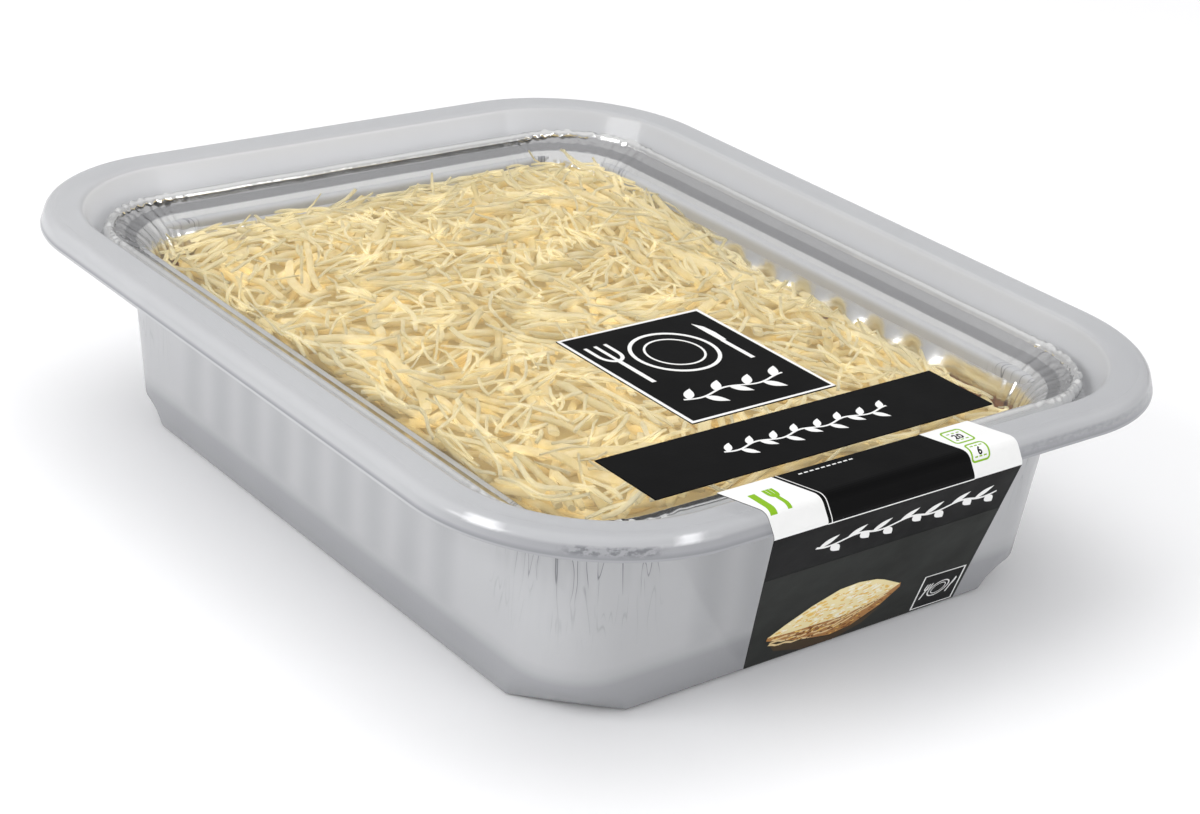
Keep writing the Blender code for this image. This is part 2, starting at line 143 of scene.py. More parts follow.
# How much each kind of row is darkened: a painted dimmer reflection
DIM_REFLECTION = {"base": 0.0, "wall": 0.0, "mouth": 0.1, "ledge": 1.0, "rim": 0.7, "bead": 0.0}
BASE_FLUTES = (0.0, 0.0, 0.2, 0.6, 0.9)
LEDGE_CREASE = 0.26
# Crimps of each kind of row: length, reach across and up, and share away from the corners
CRIMPS = {"wall": (0.0011, 0.00006, 0.00002, 0.25), "mouth": (0.0011, 0.00003, 0.00003, 0.25),
          "ledge": (0.0011, 0.00005, 0.00009, 0.1), "rim": (0.0007, 0.00012, 0.00030, 0.05),
          "bead": (0.0008, 0.00036, 0.00036, 0.06)}
# Slow swell of each kind of row: its reach across and up
SWELL = {"wall": (0.00022, 0.0), "mouth": (0.00006, 0.0), "ledge": (0.00006, 0.00006),
         "rim": (0.00006, 0.00006), "bead": (0.00006, 0.00006)}
SWELL_LENGTH = 0.009
# Share of a pleat's depth in each kind of row, and how far from a corner's middle pleats and crimps reach
PLEAT_SHARE = {"wall": 1.0, "mouth": 0.35}
PLEAT_REACH = 0.0135
CRIMP_REACH = 0.0110
BEAD_ROWS = ((-0.0019, 0.0021), (-0.0018, 0.0025), (-0.0015, 0.0028), (-0.0011, 0.0030), (-0.0006, 0.0028),
             (-0.0002, 0.0022), (-0.0001, 0.0013), (-0.0006, 0.0004), (-0.0014, -0.0002))
FOIL_SEED = 5

# Cheese
LASAGNE_TOP = 0.0263
CHEESE_HALF = (0.0474, 0.0620)
CHEESE_RADIUS = 0.0105
SHRED_AREA = (0.0514, 0.0664)
CROWN_HEIGHT = 0.0358
SHRED_RADIUS = 0.0125
CHEESE_RIM = (0.0272, 0.0312, 0.0304, 0.0292, 0.0333, 0.0337, 0.0332, 0.0270)
CROWN_SHARPNESS = 3.6
SQUARENESS = 6
CORE_DEPTH = 0.0020
CHEESE_SEED = 20
CELL = 0.0005
# Within this distance of the heap's edge most shreds lie along it
EDGE_REACH = 0.0070
SHRED_TRIES = 16000
SHREDS_MOST = 1750
PATCH_TRIES = 9000
TOP_TRIES = 2500
FINE_TRIES = 7000
FINE_MOST = 1000
FILM_LIMIT = 0.0394
# Below this rise over the core a cell counts as bare
BARE_RISE = 0.0002
# A shred this far under the heap's top gets the full painted shade of the gaps
DEEPEST = 0.0030
# Power that squares a shred's section
BLUNTNESS = 0.75
SHRED_SPACING = 0.0015
# Length that a laid shred's height is evened over
SAG_REACH = 0.0016

# Film and labels
FILM_HALF = 0.0674
FILM_RADIUS = 0.0294
FILM_THICK = 0.0003
FILM_SHEET = 0.00008
PRINT_THICK = 0.0002
LABEL_THICK = 0.00035
LABEL_START_Y = -0.0772
LABEL_START_X = (-0.0344, 0.0156)
LABEL_CREASE_X = (-0.0305, 0.0196)
LABEL_END_X = (-0.0154, 0.0301)
LABEL_END_HEIGHT = 0.0014
LABEL_END_Y = -0.0671
CREASE_ROUND = 0.0007
CREASE_OUT = 0.00025
# How far print stands over the label it is on, for each layer of print
PRINT_STEP = 0.000025

# Floor of the studio, just under the pack
FLOOR_HALF = 2.5
FLOOR_HEIGHT = -0.0002

INK = (0.0045, 0.0045, 0.0047)
WHITE_INK = (0.86, 0.86, 0.85)
GREEN_INK = (0.245, 0.47, 0.025)
PANEL_INK = (0.020, 0.0215, 0.0195)


def blend(first, second, share):
    return [a + (b - a) * share for a, b in zip(first, second)]


def smooth(value):
    value = np.clip(value, 0.0, 1.0)
    return value * value * (3 - 2 * value)


def soften(corners):
    """Round a profile's corners: each is its values and a pair of reach and steps."""
    profile = []
    for index, (corner, (reach, steps)) in enumerate(corners):
        if steps == 0:
            profile.append(corner)
            continue
        cuts = []
        for neighbour in (corners[index - 1][0], corners[index + 1][0]):
            distance = math.hypot(neighbour[0] - corner[0], neighbour[1] - corner[1])
            cuts.append(blend(corner, neighbour, reach / distance))
        for step in range(steps + 1):
            share = step / steps
            towards = blend(cuts[0], corner, share)
            away = blend(corner, cuts[1], share)
            profile.append(blend(towards, away, share))
    return profile


def rounded(half_x, half_y, radius, flat, counts):
    """Points round a rounded rectangle and their outward directions, as two arrays."""
    points = []
    outward = []
    for quarter in range(4):
        across, along = (half_x, half_y) if quarter % 2 == 0 else (half_y, half_x)
        centre = np.array((across - radius, along - radius))
        share = np.arange(counts[0])[:, None] / counts[0]
        arc = np.hstack((np.cos(share * math.pi / 2), np.sin(share * math.pi / 2)))
        start = centre + (radius, 0)
        end = centre + (0, radius)
        corner = (centre + radius * arc) * (1 - flat) + (start + (end - start) * share) * flat
        steps = counts[1 + quarter % 2]
        distance = np.arange(steps) / steps * 2 * centre[0]
        side = np.stack((centre[0] - distance, np.full(steps, along)), 1)
        turn = quarter * math.pi / 2
        rotate = np.array(((math.cos(turn), math.sin(turn)), (-math.sin(turn), math.cos(turn))))
        points.append(np.vstack((corner, side)) @ rotate)
        outward.append(np.vstack((arc, np.tile((0.0, 1.0), (steps, 1)))) @ rotate)
    return np.vstack(points), np.vstack(outward)


def lift(points, height):
    return np.column_stack((points, np.broadcast_to(height, len(points))))


def skin(rings, closed=True):
    """Vertices and faces over rings of equal size, each joined to the next."""
    count = len(rings[0])
    faces = []
    for low in range(len(rings) - 1):
        for i in range(count):
            j = (i + 1) % count
            faces.append((low * count + i, low * count + j, (low + 1) * count + j, (low + 1) * count + i))
    faces.append(tuple(range(count))[::-1])
    if closed:
        last = (len(rings) - 1) * count
        faces.append(tuple(range(last, last + count)))
    return np.vstack(rings), faces


def finish_piece(name, mesh, material, nodes=(), sharp=35.0):
    """Make a visible piece of a mesh: shading, material, body, and the nodes it replaces."""
    mesh.materials.append(material)
    mesh.shade_smooth()
    mesh.set_sharp_from_angle(angle=math.radians(sharp))
    piece = add_object(name, mesh)
    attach(piece, "root")
    if nodes:
        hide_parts(*nodes)
    return piece


def mesh_of(name, verts, faces):
    mesh = bpy.data.meshes.new(name)
    mesh.from_pydata([tuple(v) for v in verts], [], faces)
    mesh.update()
    return mesh


def add_object(name, data):
    made = bpy.data.objects.new(name, data)
    bpy.context.scene.collection.objects.link(made)
    return made


def store(mesh, name, values):
    """Keep a value for each point of a mesh, for its material to read."""
    mesh.attributes.new(name, "FLOAT", "POINT").data.foreach_set("value", values)


def thicken(piece, thickness, offset=-1.0):
    solid = piece.modifiers.new("sheet", "SOLIDIFY")
    solid.thickness = thickness
    solid.offset = offset


def fill_ramp(ramp, stops):
    """Set a colour ramp's stops, each a place and a colour."""
    for index, (place, color) in enumerate(stops):
        element = ramp.elements[index] if index < 2 else ramp.elements.new(place)
        element.position = place
        element.color = (*color, 1.0)


def mesh_from_bmesh(name, bm):
    bmesh.ops.recalc_face_normals(bm, faces=bm.faces)
    mesh = bpy.data.meshes.new(name)
    bm.to_mesh(mesh)
    bm.free()
    return mesh


class Shader:
    """A new node material with its Principled BSDF, and short ways to add nodes to it."""

    def __init__(self, name, color, roughness, **values):
        self.material = bpy.data.materials.new(name)
        self.material.use_nodes = True
        self.tree = self.material.node_tree
        self.bsdf = self.tree.nodes["Principled BSDF"]
        self.bsdf.inputs["Base Color"].default_value = (*color, 1.0)
        self.bsdf.inputs["Roughness"].default_value = roughness
        for key, value in values.items():
            self.bsdf.inputs[key.replace("_", " ").title().replace("Ior", "IOR")].default_value = value
        self.coords = self.tree.nodes.new("ShaderNodeTexCoord")

    def node(self, kind, **settings):
        made = self.tree.nodes.new(kind)
        for key, value in settings.items():
            setattr(made, key, value)
        return made

    def link(self, output, target):
        self.tree.links.new(output, target)

    def noise(self, scale, detail=3.0, rough=0.55, stretch=(1, 1, 1), offset=(0, 0, 0), place=None):
        """Noise over the piece's own coordinates, or over a place that an output gives."""
        mapping = self.node("ShaderNodeMapping")
        mapping.inputs["Scale"].default_value = stretch
        mapping.inputs["Location"].default_value = offset
        place = self.coords.outputs["Object"] if place is None else place
        self.link(place, mapping.inputs["Vector"])
        made = self.node("ShaderNodeTexNoise")
        made.inputs["Scale"].default_value = scale
        made.inputs["Detail"].default_value = detail
        made.inputs["Roughness"].default_value = rough
        self.link(mapping.outputs["Vector"], made.inputs["Vector"])
        return made.outputs["Fac"]

    def ramp(self, value, *stops):
        made = self.node("ShaderNodeValToRGB")
        fill_ramp(made.color_ramp, stops)
        self.link(value, made.inputs["Fac"])
        return made.outputs["Color"]

    def mix(self, share, first, second, kind="MIX"):
        """Mix two colours or outputs by a share, which is a number or an output."""
        made = self.node("ShaderNodeMix", data_type="RGBA", blend_type=kind)
        for socket, value in ((made.inputs[0], share), (made.inputs[6], first), (made.inputs[7], second)):
            if isinstance(value, bpy.types.NodeSocket):
                self.link(value, socket)
            elif isinstance(value, tuple):
                socket.default_value = (*value, 1.0)
            else:
                socket.default_value = value
        return made.outputs[2]

    def spread(self, value, low, high, start=0.3, end=0.7):
        """A value mapped from start..end to low..high."""
        made = self.node("ShaderNodeMapRange")
        made.inputs["From Min"].default_value = start
        made.inputs["From Max"].default_value = end
        made.inputs["To Min"].default_value = low
        made.inputs["To Max"].default_value = high
        self.link(value, made.inputs["Value"])
        return made.outputs["Result"]

    def color(self, output):
        self.link(output, self.bsdf.inputs["Base Color"])

    def roughness(self, output):
        self.link(output, self.bsdf.inputs["Roughness"])

    def bump(self, value, distance, strength=1.0):
        made = self.node("ShaderNodeBump")
        made.inputs["Distance"].default_value = distance
        made.inputs["Strength"].default_value = strength
        self.link(value, made.inputs["Height"])
        if self.bsdf.inputs["Normal"].links:
            self.link(self.bsdf.inputs["Normal"].links[0].from_socket, made.inputs["Normal"])
        self.link(made.outputs["Normal"], self.bsdf.inputs["Normal"])

    def attribute(self, name):
        return self.node("ShaderNodeAttribute", attribute_name=name).outputs["Fac"]


def plastic_material():
    """Frosted polypropylene: milky grey, with painted shade where only shade lies behind it, towards the
    front and on the lip, and painted light on the slope and the lip.
    """
    shader = Shader("frosted_plastic", (0.56, 0.565, 0.58), 0.4, alpha=0.84, specular_ior_level=0.2,
                    coat_weight=0.6, coat_roughness=0.09)
    haze = shader.mix(shader.noise(45, 4), (0.515, 0.52, 0.535), (0.555, 0.56, 0.57))
    # Painted shade: the foil's flutes, the gap under the foil, the front and the lip
    behind = shader.mix(shader.attribute("shade"), haze, (0.26, 0.265, 0.285))
    # Painted light on the slope to the seat and painted highlights on the near corner's lip
    behind = shader.mix(shader.attribute("painted_light"), behind, (0.86, 0.865, 0.88))
    # Painted shade of the foil's crimped bead seen through the near corner's lip
    crimps = shader.ramp(shader.noise(900, 3, stretch=(1, 1, 2)), (0.42, (1, 1, 1)), (0.58, (0, 0, 0)))
    crimp_shaded = shader.mix(shader.attribute("crimp_shade"), (0.0, 0.0, 0.0), crimps)
    behind = shader.mix(crimp_shaded, behind, (0.16, 0.165, 0.18))
    # Painted shade of the foil's creases seen through, as dark lines round the corners
    creased = shader.mix(shader.attribute("crease"), (0.0, 0.0, 0.0), crease_lines(shader))
    shader.color(shader.mix(creased, behind, (0.17, 0.175, 0.19)))
    shader.roughness(shader.spread(shader.noise(70, 3), 0.32, 0.44))
    shader.bump(shader.noise(1500, 2), 0.00002)
    return shader.material


def crease_lines(shader):
    """Thin upright lines round the corners: painted shade where the foil's creases show through the plastic.
    """
    split = shader.node("ShaderNodeSeparateXYZ")
    shader.link(shader.coords.outputs["Object"], split.inputs["Vector"])
    place = shader.node("ShaderNodeCombineXYZ")
    shader.link(shader.attribute("round"), place.inputs["X"])
    shader.link(split.outputs["Z"], place.inputs["Y"])
    lines = []
    for scale, stretch, offset in ((300, 0.10, 0.0), (430, 0.13, 0.7)):
        value = shader.noise(scale, 1.0, 0.5, (1.0, stretch, 1.0), (offset, 0.0, offset),
                             place.outputs["Vector"])
        lines.append(shader.ramp(value, *((spot, (level,) * 3) for spot, level in CREASE_STOPS)))
    gaps = shader.ramp(shader.noise(160, 1), (0.45, (0, 0, 0)), (0.55, (1, 1, 1)))
    return shader.mix(gaps, lines[0], lines[1])


def foil_material():
    """Bright rolled aluminium with fine rolling lines and handling dents, darkened mostly on the ledge and
    rim rows as a painted dimmer reflection.
    """
    shader = Shader("foil", (0.83, 0.83, 0.82), 0.2, metallic=1.0)
    bright = shader.mix(shader.noise(60, 4), (0.78, 0.78, 0.775), (0.88, 0.88, 0.87))
    # Painted dimmer reflection, mostly on the ledge and rim rows
    shader.color(shader.mix(shader.attribute("dim_reflection"), bright, (0.34, 0.34, 0.345)))
    shader.roughness(shader.spread(shader.noise(140, 4), 0.14, 0.27))
    shader.bump(shader.noise(160, 3), 0.00012)
    shader.bump(shader.noise(500, 2, stretch=(0.08, 1, 1)), 0.00002)
    return shader.material


def cheese_material(name, pale, deep, gap_shade):
    """Waxy shreds: paler on top and along the edges, with painted shade that deepens their tone down in the
    gaps.
    """
    shader = Shader(name, pale, 0.42, subsurface_weight=0.8, subsurface_scale=0.0045, specular_ior_level=0.06)
    shader.bsdf.subsurface_method = "BURLEY"
    shader.bsdf.inputs["Subsurface Radius"].default_value = (1.0, 0.92, 0.75)
    streaks = shader.noise(420, 4)
    body = shader.mix(shader.attribute("tint"), pale, deep)
    body = shader.mix(shader.spread(streaks, 0.0, 0.45), body, (0.71, 0.64, 0.45))
    # Painted shade: deeper tone down in the gaps, by the depth under the heap's top
    shader.color(shader.mix(shader.attribute("depth"), body, gap_shade))
    shader.roughness(shader.spread(shader.noise(300, 3), 0.34, 0.52))
    shader.bump(shader.noise(1300, 3), 0.00010)
    return shader.material


def filling_material():
    shader = Shader("lasagne_filling", (0.55, 0.22, 0.06), 0.45, subsurface_weight=0.1,
                    subsurface_scale=0.002)
    lumps = shader.noise(180, 5)
    stops = ((0.3, (0.36, 0.10, 0.025)), (0.55, (0.66, 0.28, 0.07)), (0.75, (0.80, 0.58, 0.27)))
    shader.color(shader.ramp(lumps, *stops))
    shader.bump(lumps, 0.0006)
    return shader.material


def film_material():
    """Taut clear film: nearly nothing but its gloss."""
    shader = Shader("clear_film", (0.75, 0.76, 0.78), 0.06, alpha=0.03)
    shader.bump(shader.noise(35, 2), 0.0002)
    return shader.material


def ink_material(name, color, roughness=0.38):
    """Print or label stock: a faint mottle and a fine paper grain."""
    shader = Shader(name, color, roughness, specular_ior_level=0.03)
    darker = tuple(0.9 * value for value in color)
    shader.color(shader.mix(shader.noise(260, 4), darker, color))
    shader.roughness(shader.spread(shader.noise(120, 3), roughness - 0.05, roughness + 0.07))
    shader.bump(shader.noise(1600, 2), 0.000008)
    return shader.material


def tray_profile(inward):
    """Corners from the base up to the lip, on the outer face or moved inward from it."""
    fold = TRAY_THICK - inward
    foot = (FOOT_HALF - inward, inward)
    knee = (KNEE_HALF - inward, KNEE_HEIGHT)
    wall_top = (WALL_HALF - inward, SEAT_HEIGHT - fold)
    corners = [
        ((foot[0] - 3 * FOOT_ROUND, foot[1], FOOT_RADIUS - FOOT_ROUND, 1.0), (0, 0)),
        ((*foot, FOOT_RADIUS, 1.0), (FOOT_ROUND, 4)),
    ]
    for share in WALL_RINGS:
        radius = KNEE_RADIUS + (WALL_RADIUS - KNEE_RADIUS) * share - inward
        corners.append(((*blend(knee, wall_top, share), radius, 0.0), (0, 0)))
    shoulder_half = FLANGE_HALF - FLANGE_WIDTH + fold
    lip_half = FLANGE_HALF + LIP_FLARE - fold
    corners += [
        ((*wall_top, WALL_RADIUS - inward, 0.0), (SEAT_ROUND, 4)),
        ((SEAT_HALF + fold, wall_top[1], SEAT_RADIUS + fold, 0.0), (SEAT_ROUND, 4)),
        ((shoulder_half, PACK_HEIGHT - fold, FLANGE_RADIUS - FLANGE_WIDTH + fold, 0.0), (SEAT_ROUND, 4)),
        ((FLANGE_HALF - fold, PACK_HEIGHT - fold, FLANGE_RADIUS - fold, 0.0), (LIP_ROUND, 5)),
        ((lip_half, PACK_HEIGHT - LIP_DEPTH, FLANGE_RADIUS + LIP_FLARE - fold, 0.0), (0, 0)),
    ]
    return soften(corners)


def ring_arc(points):
    """Distance along a closed ring to each of its points, and the length of the whole ring."""
    steps = np.linalg.norm(np.roll(points, -1, 0) - points, axis=1)
    return np.concatenate(((0.0,), np.cumsum(steps)[:-1])), steps.sum()


def corner_distances(points):
    """Signed distance along a ring from the nearest corner's middle."""
    arc, total = ring_arc(points)
    corner, first, second = TRAY_COUNTS
    starts = (0, corner + first, 2 * corner + first + second, 3 * corner + 2 * first + second)
    apart = [(arc - arc[start + corner // 2] + total / 2) % total - total / 2 for start in starts]
    nearest = np.argmin(np.abs(apart), axis=0)
    return np.array(apart)[nearest, np.arange(len(points))]


def flange_tones(points, half, height):
    """Painted shade, painted crimp shade, and painted light and highlights on the upper face of the flange,
    its lip and the slope to the seat.
    """
    plain = np.zeros(len(points))
    front = smooth((-points[:, 1] - FRONT_START) / FRONT_REACH)
    # The slope to the seat: painted light, stronger on the left
    if half < FLANGE_HALF - FLANGE_WIDTH + 0.0012:
        left, right = SLOPE_PAINTED_LIGHT
        light = left + (right - left) * smooth((points[:, 0] - PAINTED_LIGHT_TURN) / PAINTED_LIGHT_TURN)
        return FLANGE_SHADE * front, plain, light * (height < PACK_HEIGHT - 0.0004)
    edge = PACK_HEIGHT - LIP_DEPTH
    place = corner_distances(points) * (points[:, 0] < 0) * (points[:, 1] < 0)
    # Painted shade: the flange darker towards the front, the lip darker still, and a thin dark line above its
    # edge
    shade = FLANGE_SHADE * front
    if height < PACK_HEIGHT - 0.0008:
        shade = LIP_SHADE[0] + LIP_SHADE[1] * front
    if edge + 0.0003 < height < edge + LIP_LINE + 0.0001:
        shade = plain + LIP_LINE_SHADE
    # Painted shade where the foil's crimped bead shows through the near corner's lip
    crimp_shade = plain
    if edge + LIP_LINE < height < edge + 0.0021:
        start, end = CRIMP_SHADE_PLACE
        crimp_shade = smooth((place - start) / CRIMP_SHADE_FADE) * smooth((end - place) / CRIMP_SHADE_FADE)
        crimp_shade = LIP_CRIMP_SHADE * front * crimp_shade
    # Painted highlights on the near corner's lip
    painted_shine = plain
    if PACK_HEIGHT - 0.0011 < height < PACK_HEIGHT - 0.0001:
        for start, end in LIP_PAINTED_HIGHLIGHTS:
            painted_shine = painted_shine + smooth((place - start) / 0.0015) * smooth((end - place) / 0.0025)
    return shade, crimp_shade, painted_shine


def tray_tones(points, normal, half, height):
    """Painted shade, painted crimp shade, painted light, painted crease shade and distance from a corner at
    each point of a ring.
    """
    apart = corner_distances(points)
    if height > SEAT_HEIGHT + 0.0005:
        return (*flange_tones(points, half, height), np.zeros(len(points)), apart)
    plain = np.zeros(len(points))
    under = smooth((FOIL_FOOT_SHOWS + 0.0009 - height) / 0.0034)
    upper = smooth((SEAT_HEIGHT - height) / 0.006)
    straight = np.abs(normal).max(axis=1) > 0.999
    # Painted shade: stripes where the foil's flutes show through, and a band low down where the shaded gap
    # under the foil shows; the slow swell is a random tone
    stripes = STRIPE_SHADE * flute_wave(points, normal) * straight * (1 - under) * upper
    swell = np.array([noise.noise(Vector((x, y, height)) / 0.010) for x, y in points])
    shade = np.maximum(stripes, UNDER_SHADE * under) + SWELL_SHADE * swell
    # Painted shade of the foil's creases seen through, round each corner, weaker low down
    creases = smooth((CREASE_REACH - np.abs(apart)) / 0.003)
    creases *= 0.25 + 0.75 * smooth((height - 0.0215) / 0.004)
    creases *= smooth((height - 0.0120) / 0.005)
    return np.clip(shade, 0, 1), plain, plain, creases, apart


def make_tray():
    outer = tray_profile(0.0)
    inner = tray_profile(TRAY_THICK)[::-1]
    inner[:1] = [blend(inner[0], inner[1], share) for share in (0.0, 0.1, 0.16, 0.22, 0.3, 0.6, 0.95)]
    rings, tones = [], []
    for half, height, radius, flat in outer + inner:
        points, normal = rounded(half, half + TRAY_LONGER, radius, flat, TRAY_COUNTS)
        rings.append(lift(points, height))
        tones.append(tray_tones(points, normal, half, height))
    mesh = mesh_of("tray_shell", *skin(rings))
    # Painted shade, painted crimp shade, painted light and highlights, painted crease shade, and the distance
    # round from a corner
    for index, name in enumerate(("shade", "crimp_shade", "painted_light", "crease", "round")):
        store(mesh, name, np.concatenate([tone[index] for tone in tones]))
    finish_piece("tray_shell", mesh, plastic_material(), ["outer_tray"], 50)


def flute_wave(points, outward):
    """How deep each point of the foil's wall lies in its flute, from 0 to 1."""
    wave = np.zeros(len(points))
    for axis, count in ((1, FLUTES_LONG_SIDE), (0, FLUTES_SHORT_SIDE)):
        straight = np.abs(outward[:, 1 - axis]) > 0.999
        spot = (points[:, axis] - (FLUTE_SHIFT if axis == 1 else 0.0)) / FLUTE_PITCH + count / 2
        inside = straight & (spot > 0) & (spot < count)
        wave[inside] = ((1 - np.cos(2 * math.pi * spot[inside])) / 2) ** 0.8
    return wave


def corner_places(arc, outward):
    """Middles of the four corners, as distances round the mouth."""
    diagonal = np.abs(outward[:, 0]) * np.abs(outward[:, 1])
    middles = []
    for quarter in range(4):
        part = slice(quarter * len(arc) // 4, (quarter + 1) * len(arc) // 4)
        middles.append(float(arc[part][np.argmax(diagonal[part])]))
    return middles


def pleats(middles, rng):
    """Folds pressed into the foil's corners: place, depth, width, length and slant of each."""
    made = []
    for middle in middles:
        spot = middle - PLEAT_REACH
        while spot < middle + PLEAT_REACH:
            near = 1 - (abs(spot - middle) / 0.0150) ** 2
            made.append((spot, rng.uniform(0.0004, 0.0010) * near, rng.uniform(0.0004, 0.0008),
                         rng.uniform(0.006, 0.026), rng.uniform(-0.10, 0.10)))
            spot += rng.uniform(0.0011, 0.0026)
    return made


def loop_distance(arc, place, total):
    apart = np.abs(arc - place) % total
    return np.minimum(apart, total - apart)


def dome(drop):
    """Share of the flutes at a distance below the ledge: they end in rounded tops."""
    share = min(max((drop - FLUTE_TOP) / FLUTE_TOP_ROUND, 0.0), 1.0)
    return math.sin(math.pi / 2 * share)


def foil_sections():
    """Rows of the foil from its base over the wall and the ledge to the bead's hidden edge.

    Each is the halves and radius it starts from, how far out, its height and its kind:
    base, wall, mouth, ledge, rim or bead.
    """
    base = (FOIL_BASE_HALF, FOIL_BASE_RADIUS)
    mouth = (MOUTH_HALF, MOUTH_RADIUS)
    bead = (BEAD_HALF, BEAD_RADIUS)
    rows = [(*base, out, height, "base") for out, height in BASE_ROWS]
    top = LEDGE_TOP - WALL_TOP_DROP
    for share in WALL_SHARES:
        half = tuple(blend(FOIL_BASE_HALF, MOUTH_HALF, share))
        radius = FOIL_BASE_RADIUS + (MOUTH_RADIUS - FOIL_BASE_RADIUS) * share
        rows.append((half, radius, 0.0, FOIL_BASE_HEIGHT + (top - FOIL_BASE_HEIGHT) * share, "wall"))
    rows += [(*mouth, out, LEDGE_TOP + up, "mouth") for out, up in MOUTH_ROWS]
    rows += [(*mouth, out, LEDGE_TOP + up, "ledge") for out, up in LEDGE_ROWS]
    rows += [(*mouth, out, LEDGE_TOP + up, "rim") for out, up in RIM_ROWS]
    rows += [(*bead, out, LEDGE_TOP + up, "bead") for out, up in BEAD_ROWS]
    return rows


def fold_relief(folds, arc, total, kind, drop):
    """How far the corners' pleats move one row of the foil across and up."""
    shift = np.zeros(len(arc))
    rise = np.zeros(len(arc))
    for place, deep, width, length, slant in folds:
        reach = smooth(1.4 * (1 - drop / length))
        ridge = np.clip(1 - loop_distance(arc, place + slant * drop, total) / width, 0, 1)
        if kind in PLEAT_SHARE:
            shift -= deep * reach * ridge * PLEAT_SHARE[kind]
        if kind in ("ledge", "rim"):
            rise += LEDGE_CREASE * deep * ridge
    return shift, rise


def crimp_relief(arc, row, kind, near_corner):
    """How far crimps and a slow swell move one row of the foil across and up."""
    length, across, up, away = CRIMPS[kind]
    ripple = np.array([noise.noise(Vector((a / length, row * 0.45, 1.0))) for a in arc])
    swell = np.array([noise.noise(Vector((a / SWELL_LENGTH, row * 0.2, 7.0))) for a in arc])
    ripple *= away + near_corner
    return across * ripple + SWELL[kind][0] * swell, up * ripple + SWELL[kind][1] * swell


def make_foil():
    rng = random.Random(FOIL_SEED)
    mouth, outward = rounded(*MOUTH_HALF, MOUTH_RADIUS, 0.0, FOIL_COUNTS)
    arc, total = ring_arc(mouth)
    middles = corner_places(arc, outward)
    near_corner = np.max([smooth(1.6 - loop_distance(arc, middle, total) / CRIMP_REACH)
                          for middle in middles], axis=0)
    folds = pleats(middles, rng)
    rings, dim_reflection = [], []
    for row, (half, radius, out, height, kind) in enumerate(foil_sections()):
        points, normal = rounded(half[0] + out, half[1] + out, radius + out, 0.0, FOIL_COUNTS)
        drop = max(LEDGE_TOP - height, 0.0)
        depth = FLUTE_DEPTH_LOW + (FLUTE_DEPTH - FLUTE_DEPTH_LOW) * min(height / LEDGE_TOP, 1.0)
        if kind == "base":
            depth *= BASE_FLUTES[row]
        shift, rise = fold_relief(folds, arc, total, kind, drop)
        shift -= depth * dome(drop) * flute_wave(points, normal)
        if kind != "base":
            across, up = crimp_relief(arc, row, kind, near_corner)
            shift += across
            rise += up
        rings.append(lift(points + normal * shift[:, None], height + rise))
        dim_reflection += [DIM_REFLECTION[kind]] * len(points)
    mesh = mesh_of("foil_shell", *skin(rings, closed=False))
    store(mesh, "dim_reflection", dim_reflection)
    piece = finish_piece("foil_shell", mesh, foil_material(), ["foil_tray"], 60)
    thicken(piece, FOIL_SHEET, 0.0)


def mound_height(x, y):
    """Height that the heap of cheese fills up to: a mound that falls to an uneven rim."""
    turn = np.arctan2(y / CHEESE_HALF[1], x / CHEESE_HALF[0]) / (2 * math.pi)
    place = (turn % 1.0) * len(CHEESE_RIM)
    index = np.floor(place).astype(int)
    share = smooth(place - index)
    rim = np.array(CHEESE_RIM)
    edge = rim[index % len(rim)] * (1 - share) + rim[(index + 1) % len(rim)] * share
    across = np.abs(x) / CHEESE_HALF[0]
    along = np.abs(y) / CHEESE_HALF[1]
    out = np.minimum((across ** SQUARENESS + along ** SQUARENESS) ** (1 / SQUARENESS), 1.0)
    return CROWN_HEIGHT - (CROWN_HEIGHT - edge) * out ** CROWN_SHARPNESS


def core_height(x, y):
    bump = np.array([noise.noise(Vector((a, b, 0.0)) / 0.006) for a, b in zip(np.ravel(x), np.ravel(y))])
    across = (np.abs(x) / CHEESE_HALF[0]) ** SQUARENESS + (np.abs(y) / CHEESE_HALF[1]) ** SQUARENESS
    level = mound_height(x, y) - CORE_DEPTH - 0.0012 * np.minimum(across, 1.0)
    level = level + 0.0009 * bump.reshape(np.shape(x))
    return np.maximum(level, LASAGNE_TOP + 0.0005)


def mouth_floor(x, y):
    """Height that the foil's rounded mouth takes up at a place, or 0 inside it."""
    over = np.stack((np.abs(x) - MOUTH_HALF[0], np.abs(y) - MOUTH_HALF[1]), -1) + MOUTH_RADIUS
    out = np.linalg.norm(np.maximum(over, 0.0), axis=-1) - MOUTH_RADIUS
    reach = [-0.0018, -0.0016] + [row[0] for row in MOUTH_ROWS] + [0.0040]
    floor = [0.0, LEDGE_TOP - FLUTE_TOP] + [LEDGE_TOP + row[1] for row in MOUTH_ROWS] + [0.0360]
    return np.interp(out, reach, floor) + 0.0002


